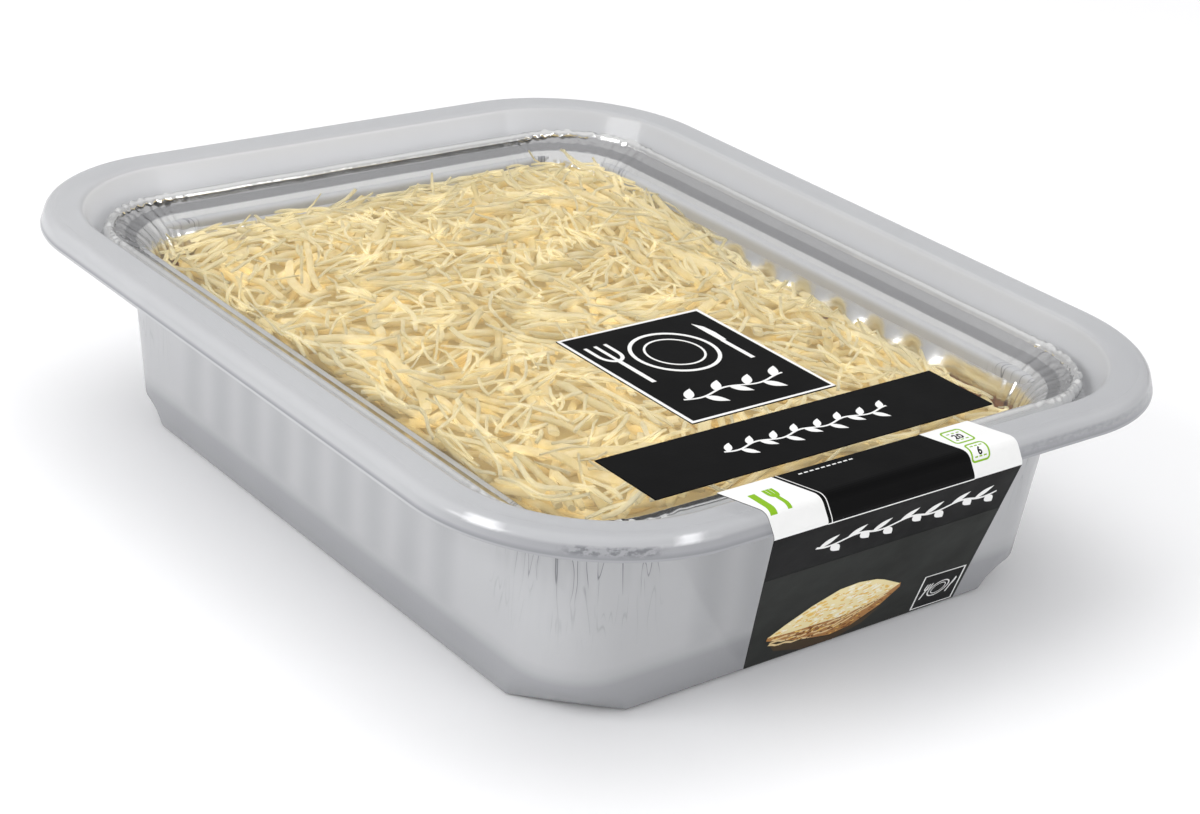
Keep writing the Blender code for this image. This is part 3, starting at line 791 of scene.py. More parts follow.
class Heap:
    """The cheese as it builds up: a grid of heights that each shred is laid on and adds to."""

    def __init__(self):
        self.low = np.array((-0.0520, -0.0670))
        self.size = np.round(-2 * self.low / CELL).astype(int)
        xs = self.low[0] + (np.arange(self.size[0]) + 0.5) * CELL
        ys = self.low[1] + (np.arange(self.size[1]) + 0.5) * CELL
        self.x, self.y = np.meshgrid(xs, ys, indexing="ij")
        self.height = np.maximum(core_height(self.x, self.y), mouth_floor(self.x, self.y))
        self.start = self.height.copy()
        self.goal = mound_height(self.x, self.y)

    def cells(self, points):
        index = ((points - self.low) / CELL).astype(int)
        return np.clip(index[:, 0], 0, self.size[0] - 1), np.clip(index[:, 1], 0, self.size[1] - 1)

    def under(self, points, across, width):
        """Highest cell under a strip of that width, at each point of its middle line."""
        found = [self.height[self.cells(points + across * width * side)] for side in (-0.4, 0.0, 0.4)]
        return np.max(found, axis=0)

    def add(self, points, across, width, top):
        for side in (-0.45, -0.22, 0.0, 0.22, 0.45):
            np.maximum.at(self.height, self.cells(points + across * width * side), top)


def inside_foil(points, margin):
    """True where every point stays clear of the foil."""
    over = np.abs(points) - (np.array(SHRED_AREA) - margin - SHRED_RADIUS)
    beyond = np.linalg.norm(np.maximum(over, 0.0), axis=1)
    return bool((beyond <= SHRED_RADIUS).all())


def edge_near(place):
    """Distance from a place to the heap's edge, and the direction that the edge runs in there."""
    over = np.abs(place) - (np.array(SHRED_AREA) - SHRED_RADIUS)
    if (over > 0).all():
        radial = np.sign(place) * over
        return SHRED_RADIUS - float(np.linalg.norm(over)), math.atan2(radial[0], -radial[1])
    if over[0] > over[1]:
        return SHRED_RADIUS - over[0], math.pi / 2
    return SHRED_RADIUS - over[1], 0.0


def shred_line(rng, length, place):
    """Middle line of a shred on the flat: a bent, slightly wavy strip round a place."""
    count = max(int(length / CELL), 4)
    share = np.linspace(0.0, 1.0, count)
    heading = rng.uniform(0, 2 * math.pi)
    if rng.random() < 0.5:
        heading = 4.5 * noise.noise(Vector((*place, 3.0)) / 0.022) + rng.gauss(0.0, 0.35)
    distance, edge_heading = edge_near(place)
    if distance < EDGE_REACH and rng.random() < 0.8:
        heading = edge_heading + rng.gauss(0.0, 0.12 + 0.5 * distance / EDGE_REACH)
    bend = rng.gauss(0.0, 0.55)
    wave = rng.gauss(0.0, 0.16)
    angle = heading + bend * (share - 0.5) + wave * np.sin(2 * math.pi * share)
    ahead = np.stack((np.cos(angle), np.sin(angle)), 1)
    points = np.cumsum(ahead, axis=0) * length / count
    points += np.array(place) - points.mean(axis=0)
    return points, np.stack((-ahead[:, 1], ahead[:, 0]), 1), share


def lowest_place(heap, rng, picks):
    """Of some random places, the one where the heap is furthest below its goal."""
    places = np.array([(rng.uniform(-1, 1), rng.uniform(-1, 1)) for _ in range(picks)]) * SHRED_AREA
    cells = heap.cells(places)
    return tuple(places[np.argmax(heap.goal[cells] - heap.height[cells])])


def lay_shred(heap, rng, kind, place):
    """Lay one shred on the heap, or return None where it would stand too high or leave the tray."""
    length = rng.triangular(*kind["length"])
    width = rng.uniform(*kind["width"])
    thick = rng.uniform(*kind["thick"])
    points, across, share = shred_line(rng, length, place)
    if not inside_foil(points, width / 2 + 0.0001):
        return None
    under = heap.under(points, across, width)
    apart = (np.arange(len(points))[:, None] - np.arange(len(points))[None, :]) * length / len(points)
    z = (under[None, :] - kind["stiffness"] * apart ** 2).max(axis=1)
    reach = max(int(SAG_REACH / CELL), 1)
    padded = np.pad(z, reach, mode="edge")
    z = np.convolve(padded, np.ones(2 * reach + 1) / (2 * reach + 1), "valid") + 0.45 * thick
    over = z - mound_height(points[:, 0], points[:, 1])
    if over.max() > kind["over"] or over.mean() > kind["over_mean"]:
        return None
    if rng.random() < kind["lifted"]:
        start = rng.uniform(0.35, 0.7)
        z = z + rng.uniform(0.0010, 0.0032) * np.clip((share - start) / (1 - start), 0, 1) ** 1.6
    if z.max() + thick / 2 > FILM_LIMIT:
        return None
    heap.add(points, across, width, z + 0.42 * thick)
    return {"points": np.column_stack((points, z)), "across": across, "width": width, "thick": thick,
            "tint": rng.random(), "roll": (rng.gauss(0.0, 0.38), rng.gauss(0.0, 0.5)),
            "taper": (rng.uniform(0.65, 1.0), rng.uniform(0.65, 1.0))}


def shred_section(shred, pick, share, scale, outline):
    """Points round a shred at one place of its middle line."""
    line = shred["points"]
    before, after = line[max(pick - 2, 0)], line[min(pick + 2, len(line) - 1)]
    ahead = (after - before) / np.linalg.norm(after - before)
    side = np.append(shred["across"][pick], 0.0)
    side -= ahead * side.dot(ahead)
    side /= np.linalg.norm(side)
    up = np.cross(ahead, side)
    up *= 1 if up[2] > 0 else -1
    roll = shred["roll"][0] + shred["roll"][1] * (share - 0.5)
    wide = (side * math.cos(roll) + up * math.sin(roll)) * shred["width"] / 2
    tall = (up * math.cos(roll) - side * math.sin(roll)) * shred["thick"] / 2
    return [line[pick] + wide * a * scale + tall * b * scale for a, b in outline]


def shred_mesh(name, heap, shreds, sides):
    """Join shreds into one mesh, with their tint and their depth under the heap's top, which sets their
    painted shade.
    """
    turn = (np.arange(sides) + 0.5) * 2 * math.pi / sides
    waves = (np.cos(turn), np.sin(turn))
    outline = np.stack([np.sign(wave) * np.abs(wave) ** BLUNTNESS for wave in waves], 1)
    verts, faces, tints, depths = [], [], [], []
    for shred in shreds:
        line = shred["points"]
        count = max(round(len(line) * CELL / SHRED_SPACING), 3) + 1
        picks = np.round(np.linspace(0, len(line) - 1, count)).astype(int)
        scales = [shred["taper"][0], *[1.0] * (count - 2), shred["taper"][1]]
        base = len(verts)
        for step, pick in enumerate(picks):
            verts += shred_section(shred, pick, step / (count - 1), scales[step], outline)
            centre = line[pick]
            hidden = heap.height[heap.cells(centre[None, :2])][0] - centre[2] - shred["thick"] / 2
            tints += [shred["tint"]] * sides
            depths += [min(max(hidden / DEEPEST, 0.0), 1.0)] * sides
        for step in range(count - 1):
            for k in range(sides):
                low = base + step * sides
                faces.append((low + k, low + (k + 1) % sides, low + sides + (k + 1) % sides, low + sides + k))
        faces.append(tuple(range(base, base + sides))[::-1])
        faces.append(tuple(range(base + (count - 1) * sides, base + count * sides)))
    mesh = mesh_of(name, verts, faces)
    store(mesh, "tint", tints)
    store(mesh, "depth", depths)
    return mesh


def core_mesh():
    """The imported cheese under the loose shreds."""
    points = rounded(*CHEESE_HALF, CHEESE_RADIUS, 0.0, (10, 26, 34))[0]
    rings = [lift(points, LASAGNE_TOP + GAP)]
    for share in np.linspace(1.0, 0.05, 26):
        level = points * share
        rings.append(lift(level, core_height(level[:, 0], level[:, 1])))
    verts, faces = skin(rings)
    mesh = mesh_of("cheese_core", verts, faces)
    store(mesh, "tint", [0.7] * len(verts))
    # The core lies under the shreds and gets most of the painted gap shade
    store(mesh, "depth", [0.8] * len(verts))
    return mesh


SHRED_KINDS = {
    "coarse": {"length": (0.012, 0.036, 0.021), "width": (0.0011, 0.0020), "thick": (0.0008, 0.0012),
               "stiffness": 60.0, "over": 0.0010, "over_mean": 0.0003, "lifted": 0.08},
    "patch": {"length": (0.005, 0.014, 0.009), "width": (0.0011, 0.0020), "thick": (0.0008, 0.0012),
              "stiffness": 90.0, "over": 0.0012, "over_mean": 0.0008, "lifted": 0.05},
    "top": {"length": (0.014, 0.036, 0.022), "width": (0.0011, 0.0021), "thick": (0.0008, 0.0012),
            "stiffness": 45.0, "over": 0.0024, "over_mean": 0.0015, "lifted": 0.16},
    "fine": {"length": (0.004, 0.016, 0.009), "width": (0.0004, 0.0009), "thick": (0.0003, 0.0007),
             "stiffness": 110.0, "over": 0.0026, "over_mean": 0.0018, "lifted": 0.2},
}


def bare_places(heap, rng):
    """Middles of cells that no shred covers yet, in random order."""
    bare = np.argwhere(heap.height <= heap.start + BARE_RISE)
    picks = rng.sample(range(len(bare)), min(PATCH_TRIES, len(bare)))
    return [tuple(heap.low + (bare[pick] + 0.5) * CELL) for pick in picks]


def make_cheese():
    rng = random.Random(CHEESE_SEED)
    heap = Heap()
    coarse = []
    for _ in range(SHRED_TRIES):
        if len(coarse) < SHREDS_MOST:
            coarse.append(lay_shred(heap, rng, SHRED_KINDS["coarse"], lowest_place(heap, rng, 5)))
            coarse = coarse if coarse[-1] else coarse[:-1]
    patches = []
    for place in 3 * bare_places(heap, rng):
        cell = heap.cells(np.array([place]))
        if heap.height[cell][0] <= heap.start[cell][0] + BARE_RISE:
            patches.append(lay_shred(heap, rng, SHRED_KINDS["patch"], place))
    coarse += [shred for shred in patches if shred]
    for _ in range(TOP_TRIES):
        shred = lay_shred(heap, rng, SHRED_KINDS["top"], lowest_place(heap, rng, 4))
        if shred and len(coarse) < SHREDS_MOST:
            coarse.append(shred)
    fine = []
    for _ in range(FINE_TRIES):
        shred = lay_shred(heap, rng, SHRED_KINDS["fine"], lowest_place(heap, rng, 3))
        if shred and len(fine) < FINE_MOST:
            fine.append(shred)
    # The third colour of each is the painted shade down in the gaps
    pale = cheese_material("cheese_pale", (0.600, 0.510, 0.275), (0.590, 0.480, 0.225), (0.57, 0.44, 0.185))
    deep = cheese_material("cheese_deep", (0.580, 0.480, 0.235), (0.560, 0.440, 0.185), (0.55, 0.41, 0.155))
    light = cheese_material("cheese_light", (0.640, 0.570, 0.355), (0.620, 0.535, 0.295), (0.60, 0.47, 0.205))
    finish_piece("cheese_core", core_mesh(), deep, ["grated_cheese"])
    split = {"cheese_shreds_pale": ([s for s in coarse if s["tint"] < 0.6], pale, 8),
             "cheese_shreds_deep": ([s for s in coarse if s["tint"] >= 0.6], deep, 8),
             "cheese_shreds_fine": (fine, light, 6)}
    for name, (shreds, material, sides) in split.items():
        mesh = shred_mesh(name, heap, shreds, sides)
        piece = finish_piece(name, mesh, material, ["grated_cheese"], 60)
        # Waxy cheese lets light through
        piece.visible_shadow = False


def make_film():
    """Clear film sealed on the flange, very slightly wavy where it spans the tray."""
    low = PACK_HEIGHT + GAP
    rings = []
    for share in np.linspace(0.02, 1.0, 30):
        points = share * rounded(FILM_HALF, FILM_HALF + TRAY_LONGER, FILM_RADIUS, 0.0, (12, 20, 26))[0]
        free = smooth((1.0 - share) / 0.15)
        sag = [noise.noise(Vector((x, y, 5.0)) / 0.03) * 0.00006 for x, y in points]
        rings.append(lift(points, low + 0.00012 + free * np.array(sag)))
    mesh = mesh_of("film_sheet", *skin(rings, closed=False))
    piece = finish_piece("film_sheet", mesh, film_material(), ["lidding_film"])
    thicken(piece, FILM_SHEET)


class Surface:
    """Where print goes: maps two real distances on a flat or folded surface, and a lift, to a point."""

    def __init__(self, path):
        """path is the surface's middle line as (y, z) points, followed as s grows."""
        self.path = [Vector(point) for point in path]
        self.lengths = [0.0]
        for before, after in zip(self.path, self.path[1:]):
            self.lengths.append(self.lengths[-1] + (after - before).length)

    def at(self, x, s, rise):
        index = 0
        while index < len(self.path) - 2 and s > self.lengths[index + 1]:
            index += 1
        before, after = self.path[index], self.path[index + 1]
        ahead = (after - before).normalized()
        point = before + ahead * (s - self.lengths[index])
        out = Vector((ahead.y, -ahead.x))
        return Vector((x, point.x + out.x * rise, point.y + out.y * rise))


class Print:
    """Thin raised fields, lines and numbers of one ink on a surface."""

    def __init__(self, surface, base, layer=1, step=PRINT_STEP):
        """base is the lift that the first layer starts from, and step the thickness of each layer."""
        self.surface = surface
        self.low = base + (layer - 1) * step
        self.high = base + layer * step
        self.bm = bmesh.new()

    def area(self, outline):
        """A filled outline, given as (x, s) points."""
        low = [self.bm.verts.new((x, s, self.low)) for x, s in outline]
        high = [self.bm.verts.new((x, s, self.high)) for x, s in outline]
        faces = [self.bm.faces.new(low), self.bm.faces.new(high)]
        for i in range(len(outline)):
            self.bm.faces.new((low[i - 1], low[i], high[i], high[i - 1]))
        bmesh.ops.triangulate(self.bm, faces=faces)

    def strip(self, rows):
        """A field between left and right edges: rows of (left x, right x, s)."""
        self.join([self.loop((left, s), (right, s)) for left, right, s in rows])

    def loop(self, left, right):
        """Corners of a section between a left and a right point."""
        corners = ((left, self.low), (right, self.low), (right, self.high), (left, self.high))
        return [self.bm.verts.new((*spot, rise)) for spot, rise in corners]

    def join(self, loops, closed=False):
        """Faces between sections that follow each other, and over the two ends of an open row."""
        pairs = list(zip(loops, loops[1:])) + ([(loops[-1], loops[0])] if closed else [])
        for before, after in pairs:
            for k in range(4):
                self.bm.faces.new((before[k], before[k - 1], after[k - 1], after[k]))
        if not closed:
            self.bm.faces.new(loops[0])
            self.bm.faces.new(loops[-1])

    def line(self, points, width, closed=False):
        """A line of even width through (x, s) points."""
        points = [Vector(point) for point in points]
        loops = []
        count = len(points)
        for i, point in enumerate(points):
            before = points[i - 1] if closed or i > 0 else point
            after = points[(i + 1) % count] if closed or i < count - 1 else point
            ahead = (after - before).normalized()
            across = Vector((-ahead.y, ahead.x)) * width / 2
            into = (point - before).normalized() if before != point else ahead
            mitre = 1 / max(abs(into.dot(ahead)), 0.5)
            loops.append(self.loop(point + across * mitre, point - across * mitre))
        self.join(loops, closed)

    def number(self, text, x, s, height, bold=0.0):
        """Plain figures, centred at (x, s)."""
        curve = bpy.data.curves.new("number", "FONT")
        curve.body = text
        curve.size = height * 1.35
        curve.align_x = "CENTER"
        curve.extrude = (self.high - self.low) / 2
        curve.offset = bold
        curve.resolution_u = 3
        holder = add_object("number", curve)
        mesh = bpy.data.meshes.new_from_object(holder.evaluated_get(bpy.context.evaluated_depsgraph_get()))
        made = bmesh.new()
        made.from_mesh(mesh)
        bmesh.ops.remove_doubles(made, verts=made.verts, dist=1e-7)
        copy = {}
        for vert in made.verts:
            rise = (self.low + self.high) / 2 + vert.co.z
            copy[vert] = self.bm.verts.new((x + vert.co.x, s + height / 2 - vert.co.y, rise))
        for face in made.faces:
            self.bm.faces.new([copy[vert] for vert in face.verts])
        made.free()
        bpy.data.objects.remove(holder, do_unlink=True)
        bpy.data.curves.remove(curve)
        bpy.data.meshes.remove(mesh)

    def piece(self, name, material, slot, nodes):
        """Cut the print at each bend of its surface, lay it there and make it a piece."""
        for s in self.surface.lengths[1:-1]:
            parts = self.bm.verts[:] + self.bm.edges[:] + self.bm.faces[:]
            bmesh.ops.bisect_plane(self.bm, geom=parts, plane_co=(0, s, 0), plane_no=(0, 1, 0))
        for vert in self.bm.verts:
            vert.co = self.surface.at(*vert.co)
        made = finish_piece(name, mesh_from_bmesh(name, self.bm), material, nodes, 30)
        # Light passes through the thin print and its label
        made.visible_shadow = False
        made.visible_diffuse = False


def turned(x, s, ahead, aside, turn):
    """The place that lies so far ahead and aside of (x, s), seen along a direction."""
    along, across = math.cos(turn), math.sin(turn)
    return x + ahead * along - aside * across, s + ahead * across + aside * along


def oval(x, s, half_x, half_s, turn=0.0, steps=28, start=0.0, end=1.0):
    """Points round an oval, or along a part of it."""
    points = []
    whole = end - start == 1.0
    for step in range(steps + (0 if whole else 1)):
        angle = 2 * math.pi * (start + (end - start) * step / steps)
        points.append(turned(x, s, half_x * math.cos(angle), half_s * math.sin(angle), turn))
    return points


def leaf(x, s, length, width, turn):
    """Outline of a pointed leaf that grows from (x, s)."""
    points = []
    for side in (1, -1):
        for step in range(9):
            share = step / 9 if side == 1 else 1 - step / 9
            aside = side * width / 2 * math.sin(math.pi * share ** 0.85)
            points.append(turned(x, s, share * length, aside, turn))
    return points


def round_box(left, top, right, bottom, radius, lean=0.0, steps=5):
    """Outline of a rounded rectangle whose top leans to one side."""
    points = []
    corners = ((right, top, -0.25), (right, bottom, 0.0), (left, bottom, 0.25), (left, top, 0.5))
    for x, s, start in corners:
        cx = x - math.copysign(radius, x - (left + right) / 2)
        cs = s - math.copysign(radius, s - (top + bottom) / 2)
        for step in range(steps + 1):
            angle = 2 * math.pi * (start + 0.25 * step / steps)
            px = cx + radius * math.cos(angle)
            ps = cs + radius * math.sin(angle)
            points.append((px + lean * (ps - top), ps))
    return points


def vine(ink, x, s, length, leaf_length, width, lean=0.0, rise=0.0):
    """A stem with leaves on both sides, as a plain ornament."""
    count = round(length / (leaf_length * 0.72))
    line = []
    for step in range(4 * count + 1):
        share = step / (4 * count)
        swing = 0.16 * leaf_length * math.sin(2 * math.pi * share * count / 4)
        line.append((x + share * length, s + rise * share + swing))
    ink.line(line, width)
    for index in range(count):
        share = (index + 0.3) / count
        spot = line[round(share * 4 * count)]
        side = 1 if index % 2 else -1
        ink.area(leaf(spot[0], spot[1], leaf_length, 0.42 * leaf_length, side * (0.85 + lean)))


def fork(ink, x, s, length, width):
    """A fork upright at (x, s), its middle, with three prongs at the top."""
    head = 0.42 * length
    top = s - length / 2
    spread = 0.13 * length
    ink.line([(x, top + head * 0.9), (x, s + length / 2)], 1.3 * width)
    ink.line(oval(x, top + head * 0.55, spread, head * 0.42, start=0.0, end=0.5, steps=12), width)
    for prong in (-1, 0, 1):
        place = x + prong * spread
        ink.line([(place, top), (place, top + head * (0.56 if prong else 0.95))], width)


def knife(ink, x, s, length, width):
    top = s - length / 2
    ink.line([(x, s), (x, s + length / 2)], 1.3 * width)
    ink.area([(x - 0.5 * width, s), (x - 0.5 * width, top), (x + 1.2 * width, top + 0.12 * length),
              (x + 1.6 * width, top + 0.3 * length), (x + 1.2 * width, s)])


def dish(ink, x, s, radius, width):
    """A plate in plan between a fork and a knife, in lines."""
    ink.line(oval(x, s, radius, radius, steps=48), width, closed=True)
    ink.line(oval(x, s, 0.68 * radius, 0.68 * radius, steps=40), 0.6 * width, closed=True)
    fork(ink, x - 1.42 * radius, s, 2.1 * radius, width)
    knife(ink, x + 1.38 * radius, s, 2.1 * radius, width)


def flat_surface(height):
    """The film's top, with s counted from the back edge of the pack towards the front label."""
    reach = FLANGE_HALF + TRAY_LONGER
    return Surface([(reach, height), (-reach, height)])


def on_film(y):
    return FLANGE_HALF + TRAY_LONGER - y


def make_film_labels(black, white):
    low = PACK_HEIGHT + 2 * GAP + FILM_THICK
    surface = flat_surface(low)
    for name, node in (("square_label", "film_label_square"), ("band_label", "film_label_band")):
        near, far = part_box(node)
        ground = Print(surface, 0.0, step=PRINT_THICK)
        ground.strip([(near.x, far.x, on_film(far.y)), (near.x, far.x, on_film(near.y))])
        ground.piece(name, black, "film_print", [node])
        ink = Print(surface, PRINT_THICK)
        middle = ((near.x + far.x) / 2, on_film((near.y + far.y) / 2))
        if name == "square_label":
            left, right = near.x + FRAME_INSET, far.x - FRAME_INSET
            top, bottom = on_film(far.y) + FRAME_INSET, on_film(near.y) - FRAME_INSET
            ink.line([(left, top), (right, top), (right, bottom), (left, bottom)], FRAME_LINE, closed=True)
            dish(ink, middle[0], middle[1] - 0.0050, 0.0072, 0.00065)
            vine(ink, near.x + 0.0042, on_film(near.y) - 0.0072, 0.0205, 0.0040, 0.0004)
        else:
            vine(ink, near.x + 0.0185, middle[1], 0.0330, 0.0030, 0.00035)
        ink.piece(name + "_print", white, "film_print", [node])


def label_surface():
    """The front label's outer face: from above the film, over the lip, down to the foot."""
    off = GAP + LABEL_THICK / 2
    level = PACK_HEIGHT + GAP + FILM_THICK + off
    lip_y = -(FLANGE_HALF + LIP_FLARE + TRAY_LONGER + off + CREASE_OUT)
    corners = [
        ((LABEL_START_Y, level), (0, 0)),
        ((lip_y + LIP_FLARE, level), (LIP_ROUND, 6)),
        ((lip_y, PACK_HEIGHT - LIP_DEPTH), (CREASE_ROUND, 3)),
        ((LABEL_END_Y, LABEL_END_HEIGHT), (0, 0)),
    ]
    return Surface(soften(corners))


def label_edges(surface, s):
    """Left and right edge of the label at a distance from its start."""
    crease = surface.lengths[-2]
    if s <= crease:
        return blend(LABEL_START_X, LABEL_CREASE_X, s / crease)
    return blend(LABEL_CREASE_X, LABEL_END_X, (s - crease) / (surface.lengths[-1] - crease))


def label_rows(surface, left, right, start, end):
    """Rows between two shares of the label's width, with one at each bend of the path."""
    stops = sorted({start, end, *(s for s in surface.lengths if start < s < end)})
    rows = []
    for s in stops:
        edges = label_edges(surface, s)
        width = edges[1] - edges[0]
        rows.append((edges[0] + left * width, edges[0] + right * width, s))
    return rows


# Line round the square label, and how far inside its edge it lies
FRAME_INSET = 0.0003
FRAME_LINE = 0.00055
# White fields and upright line of the front label on the film, as shares of its width
WHITE_LEFT = (0.0, 0.205)
WHITE_LINE = (0.2185, 0.2215)
WHITE_RIGHT = (0.796, 1.0)
# The white fields stop this far before the crease, and the panel starts this far below it
WHITE_STOPS = 0.0002
TITLE_DEPTH = 0.0118
# The green signs: outlined boxes as left, top, right and bottom, with marks at these shares
SIGN_BOXES = ((0.0082, 0.0014, 0.0122, 0.0052), (0.0086, 0.0062, 0.0122, 0.0094))
MARKS_DOWN = (0.22, 0.78)
MARKS_ACROSS = (0.25, 0.5, 0.75)
# The pictured slice: outlines of its top, side and reflection as (x, distance below the crease)
SLICE_TOP = ((-0.0150, 0.0312), (-0.0128, 0.0285), (-0.0092, 0.0250), (-0.0050, 0.0224), (-0.0012, 0.0221),
             (0.0030, 0.0230), (0.0052, 0.0240), (0.0105, 0.0272), (0.0086, 0.0290), (0.0050, 0.0311),
             (0.0000, 0.0322), (-0.0050, 0.0319), (-0.0100, 0.0318))
SLICE_SIDE = ((-0.0151, 0.0310), (-0.0100, 0.0316), (-0.0050, 0.0317), (0.0000, 0.0320), (0.0050, 0.0309),
              (0.0086, 0.0288), (0.0106, 0.0270), (0.0112, 0.0284), (0.0094, 0.0326), (0.0052, 0.0366),
              (0.0012, 0.0375), (-0.0060, 0.0356), (-0.0120, 0.0334), (-0.0148, 0.0322))
SLICE_SHINE = ((-0.0140, 0.0330), (-0.0060, 0.0360), (0.0012, 0.0378), (0.0052, 0.0369), (0.0100, 0.0330),
               (0.0080, 0.0372), (0.0030, 0.0396), (-0.0040, 0.0392), (-0.0110, 0.0366))
SMALL_SQUARE = ((0.0170, 0.0284), (0.0262, 0.0288), (0.0291, 0.0390), (0.0199, 0.0388))


# Inks of the pictured slice, each with its layer of print
SLICE_INKS = {"slice_shine": ((0.060, 0.038, 0.018), 2), "slice_side": ((0.42, 0.20, 0.065), 3),
              "slice_top": ((0.86, 0.74, 0.42), 4), "slice_layers": ((0.78, 0.60, 0.32), 4),
              "slice_dark": ((0.20, 0.075, 0.022), 5), "slice_gold": ((0.80, 0.52, 0.13), 5),
              "slice_white": ((0.93, 0.88, 0.72), 5)}
SLICE_OUTLINES = {"slice_shine": SLICE_SHINE, "slice_side": SLICE_SIDE, "slice_top": SLICE_TOP}
# Layers in the slice's side: how far each bows down
SLICE_BOWS = (0.0014, 0.0027, 0.0040)
# Flecks: how many, their ink, the outline they lie in and their size
SLICE_FLECKS = ((150, "slice_gold", SLICE_TOP, 0.00048), (90, "slice_white", SLICE_TOP, 0.00060),
                (110, "slice_dark", SLICE_SIDE, 0.00034), (40, "slice_gold", SLICE_SIDE, 0.00036))
FLECK_SEED = 3


def inside(outline, x, s):
    """True where a point lies in an outline."""
    found = False
    for i in range(len(outline)):
        ax, a = outline[i - 1]
        bx, b = outline[i]
        if (a > s) != (b > s) and x < (bx - ax) * (s - a) / (b - a) + ax:
            found = not found
    return found


def slice_layer(bow, index):
    """Line of one layer in the slice's side, as (x, distance below the crease)."""
    line = []
    for step in range(25):
        share = step / 24
        sag = bow * math.sin(math.pi * min(share * 0.62 + 0.2, 1.0))
        lifted = 0.0042 * max(share - 0.62, 0) / 0.38
        wave = 0.00022 * math.sin(40 * share + index * 2)
        line.append((-0.0135 + 0.0225 * share, 0.0316 + sag - lifted + wave))
    return line


def slice_picture(surface, base, crease, nodes):
    """A slice of lasagne in flat shapes: cheesy top, layered side, flecks and a dim reflection."""
    rng = random.Random(FLECK_SEED)
    inks = {name: Print(surface, base, layer) for name, (_, layer) in SLICE_INKS.items()}
    for name, outline in SLICE_OUTLINES.items():
        inks[name].area([(x, crease + s) for x, s in outline])
    for index, bow in enumerate(SLICE_BOWS):
        inks["slice_layers"].line([(x, crease + s) for x, s in slice_layer(bow, index)], 0.00045)
    for count, name, outline, size in SLICE_FLECKS:
        made = 0
        while made < count:
            x = rng.uniform(-0.0150, 0.0110)
            s = rng.uniform(0.0220, 0.0376)
            radius = size * rng.uniform(0.4, 1.0)
            if inside(outline, x, s):
                made += 1
                if all(inside(outline, *spot) for spot in oval(x, s, 1.6 * radius, radius, steps=6)):
                    turn = rng.uniform(-0.5, 0.5)
                    fleck = oval(x, crease + s, 1.4 * radius, 0.6 * radius, turn, 6)
                    inks[name].area(fleck)
    for name, ink in inks.items():
        ink.piece(name, ink_material(name, SLICE_INKS[name][0]), "label_paper", nodes)


def white_print(ink, surface, crease):
    """White fields on both sides of the film, with lines, an ornament and small strokes."""
    end = crease - WHITE_STOPS
    for field in (WHITE_LEFT, WHITE_RIGHT, WHITE_LINE):
        ink.strip(label_rows(surface, *field, 0.0, end))
    left, right = label_edges(surface, crease)
    ink.line([(left + share * (right - left), end) for share in (WHITE_LEFT[1], WHITE_RIGHT[0])], 0.00022)
    vine(ink, -0.0190, crease + 0.0062, 0.0370, 0.0036, 0.00045, lean=-0.15, rise=-0.0004)
    for x in np.arange(-0.0200, -0.0098, 0.0011):
        ink.line([(x, 0.0012), (x + 0.0007, 0.0012)], 0.00025)


def green_print(ink):
    """The green signs: a fork with its number, and two outlined boxes with marks."""
    ink.number("1", -0.0306, 0.0054, 0.0052, 0.00030)
    fork(ink, -0.0275, 0.0054, 0.0054, 0.00060)
    for left, top, right, bottom in SIGN_BOXES:
        ink.line(round_box(left, top, right, bottom, 0.0006), 0.00032, closed=True)
        for s in (top + row * (bottom - top) for row in MARKS_DOWN):
            for x in (left + share * (right - left) for share in MARKS_ACROSS):
                ink.line([(x - 0.0003, s), (x + 0.0003, s)], 0.00022)


def make_front_label(black, white):
    surface = label_surface()
    crease = surface.lengths[-2]
    end = surface.lengths[-1]
    node = ["front_label"]
    half = LABEL_THICK / 2 - 5 * PRINT_STEP
    body = Print(surface, -half, step=2 * half)
    body.strip(label_rows(surface, 0.0, 1.0, 0.0, end))
    body.piece("label_strip", black, "label_paper", node)
    whites = Print(surface, half)
    white_print(whites, surface, crease)
    whites.piece("label_print_white", white, "label_paper", node)
    panel = Print(surface, half)
    panel.strip(label_rows(surface, 0.0, 1.0, crease + TITLE_DEPTH, end - 0.00005))
    panel.piece("label_print_panel", ink_material("panel_ink", PANEL_INK), "label_paper", node)

    square = [(x, crease + s) for x, s in SMALL_SQUARE]
    badge = Print(surface, half, 3)
    badge.line(square, 0.00028, closed=True)
    dish(badge, sum(x for x, s in square) / 4, sum(s for x, s in square) / 4, 0.0021, 0.00026)
    badge.piece("label_badge", white, "label_paper", node)
    ground = Print(surface, half, 2)
    ground.area(square)
    ground.piece("label_badge_ground", black, "label_paper", node)

    green = Print(surface, half, 2)
    green_print(green)
    green.piece("label_print_green", ink_material("green_ink", GREEN_INK), "label_paper", node)
    figures = Print(surface, half, 2)
    figures.number("20", 0.0102, 0.0033, 0.0014, 0.00005)
    figures.number("6", 0.0104, 0.0078, 0.0013, 0.00005)
    figures.piece("label_figures", black, "label_paper", node)
    slice_picture(surface, half, crease, node)


def dress_lasagne():
    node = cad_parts["lasagne"]
    node.data.materials.clear()
    node.data.materials.append(filling_material())


def make_floor():
    signs = ((-1, -1), (1, -1), (1, 1), (-1, 1))
    corners = [(x * FLOOR_HALF, y * FLOOR_HALF, FLOOR_HEIGHT) for x, y in signs]
    mesh = mesh_of("floor", corners, [(0, 1, 2, 3)])
    shader = Shader("floor", (0.97, 0.97, 0.975), 0.6)
    shader.color(shader.mix(shader.noise(3, 2), (0.965, 0.965, 0.97), (0.975, 0.975, 0.98)))
    mesh.materials.append(shader.material)
    floor = add_object("floor", mesh)


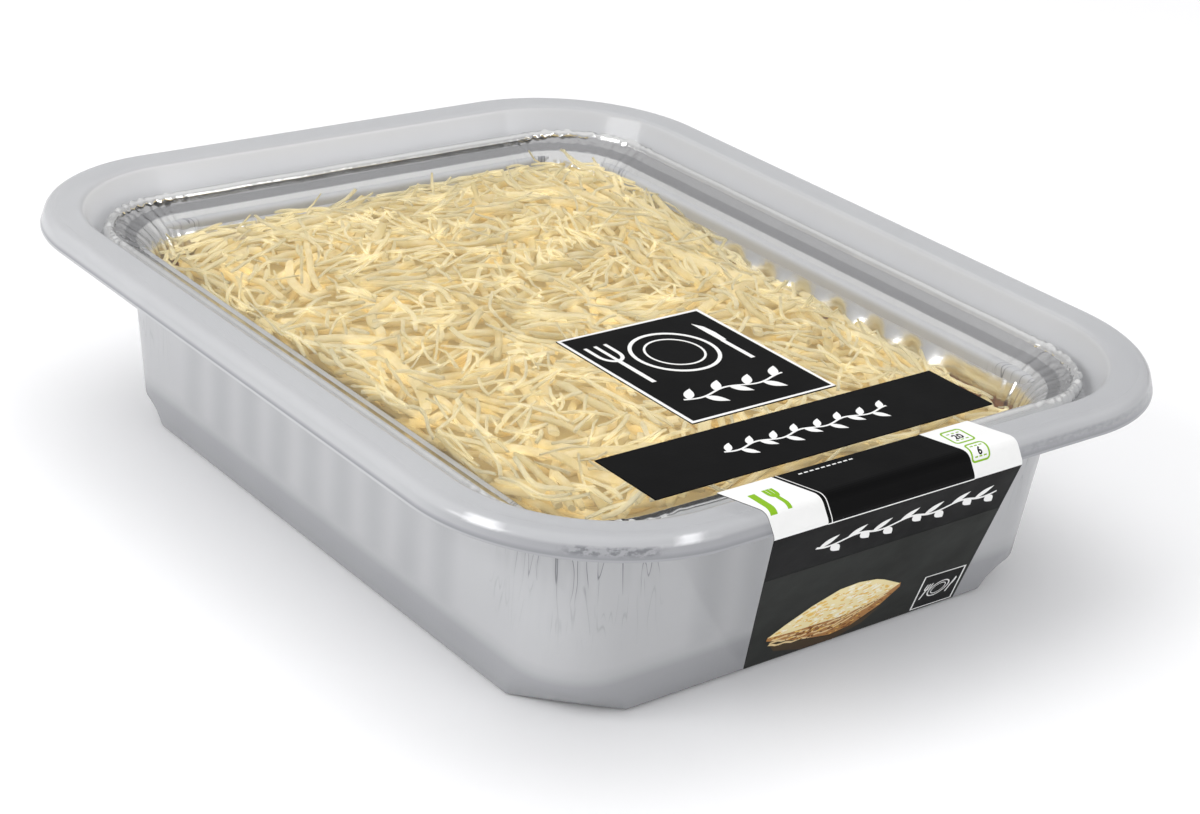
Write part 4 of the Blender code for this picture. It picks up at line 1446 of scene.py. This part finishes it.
def make_world():
    """A studio tent: grey low down all round, bright overhead."""
    world = bpy.data.worlds.new("studio")
    bpy.context.scene.world = world
    world.use_nodes = True
    tree = world.node_tree
    coords = tree.nodes.new("ShaderNodeTexCoord")
    split = tree.nodes.new("ShaderNodeSeparateXYZ")
    ramp = tree.nodes.new("ShaderNodeValToRGB")
    tree.links.new(coords.outputs["Generated"], split.inputs["Vector"])
    tree.links.new(split.outputs["Z"], ramp.inputs["Fac"])
    tree.links.new(ramp.outputs["Color"], tree.nodes["Background"].inputs["Color"])
    greys = ((0.0, 0.60), (0.38, 0.55), (0.62, 0.80), (0.85, 1.0))
    fill_ramp(ramp.color_ramp, [(place, (value, value, 1.01 * value)) for place, value in greys])
    tree.nodes["Background"].inputs["Strength"].default_value = 0.88


def area_light(name, place, target, size, power, color=(1.0, 1.0, 1.0)):
    data = bpy.data.lights.new(name, "AREA")
    data.shape = "RECTANGLE"
    data.size, data.size_y = size
    data.energy = power
    data.color = color
    light = add_object(name, data)
    light.location = place
    light.rotation_euler = (Vector(target) - Vector(place)).to_track_quat("-Z", "Y").to_euler()
    light.visible_glossy = name != "overhead"


def make_lights():
    area_light("overhead", (0.05, 0.05, 0.9), (0, 0, 0), (0.8, 0.8), 2.4)
    area_light("left", (-0.9, 0.1, 0.55), (0, 0, 0.02), (0.6, 0.4), 5.0)
    area_light("front", (0.2, -1.0, 0.35), (0, 0, 0.02), (0.7, 0.4), 2.2)


def make_camera():
    data = bpy.data.cameras.new("camera")
    data.sensor_width = SENSOR
    data.lens = CAMERA_FOCAL / IMAGE_WIDTH * SENSOR
    data.clip_start = 0.01
    camera = add_object("camera", data)
    forward = CAMERA_FORWARD.normalized()
    right = (CAMERA_RIGHT - forward * CAMERA_RIGHT.dot(forward)).normalized()
    up = right.cross(forward)
    turn = Matrix((right, up, -forward)).transposed()
    camera.matrix_world = Matrix.Translation(CAMERA_PLACE) @ turn.to_4x4()
    bpy.context.scene.camera = camera


make_camera()
make_world()
make_lights()
make_floor()
make_tray()
make_foil()
dress_lasagne()
make_cheese()
make_film()
PRINT_BLACK = ink_material("print_black", INK)
PRINT_WHITE = ink_material("print_white", WHITE_INK)
make_film_labels(PRINT_BLACK, PRINT_WHITE)
make_front_label(PRINT_BLACK, PRINT_WHITE)
bpy.context.scene.view_settings.view_transform = "Standard"
bpy.context.scene.cycles.use_denoising = True
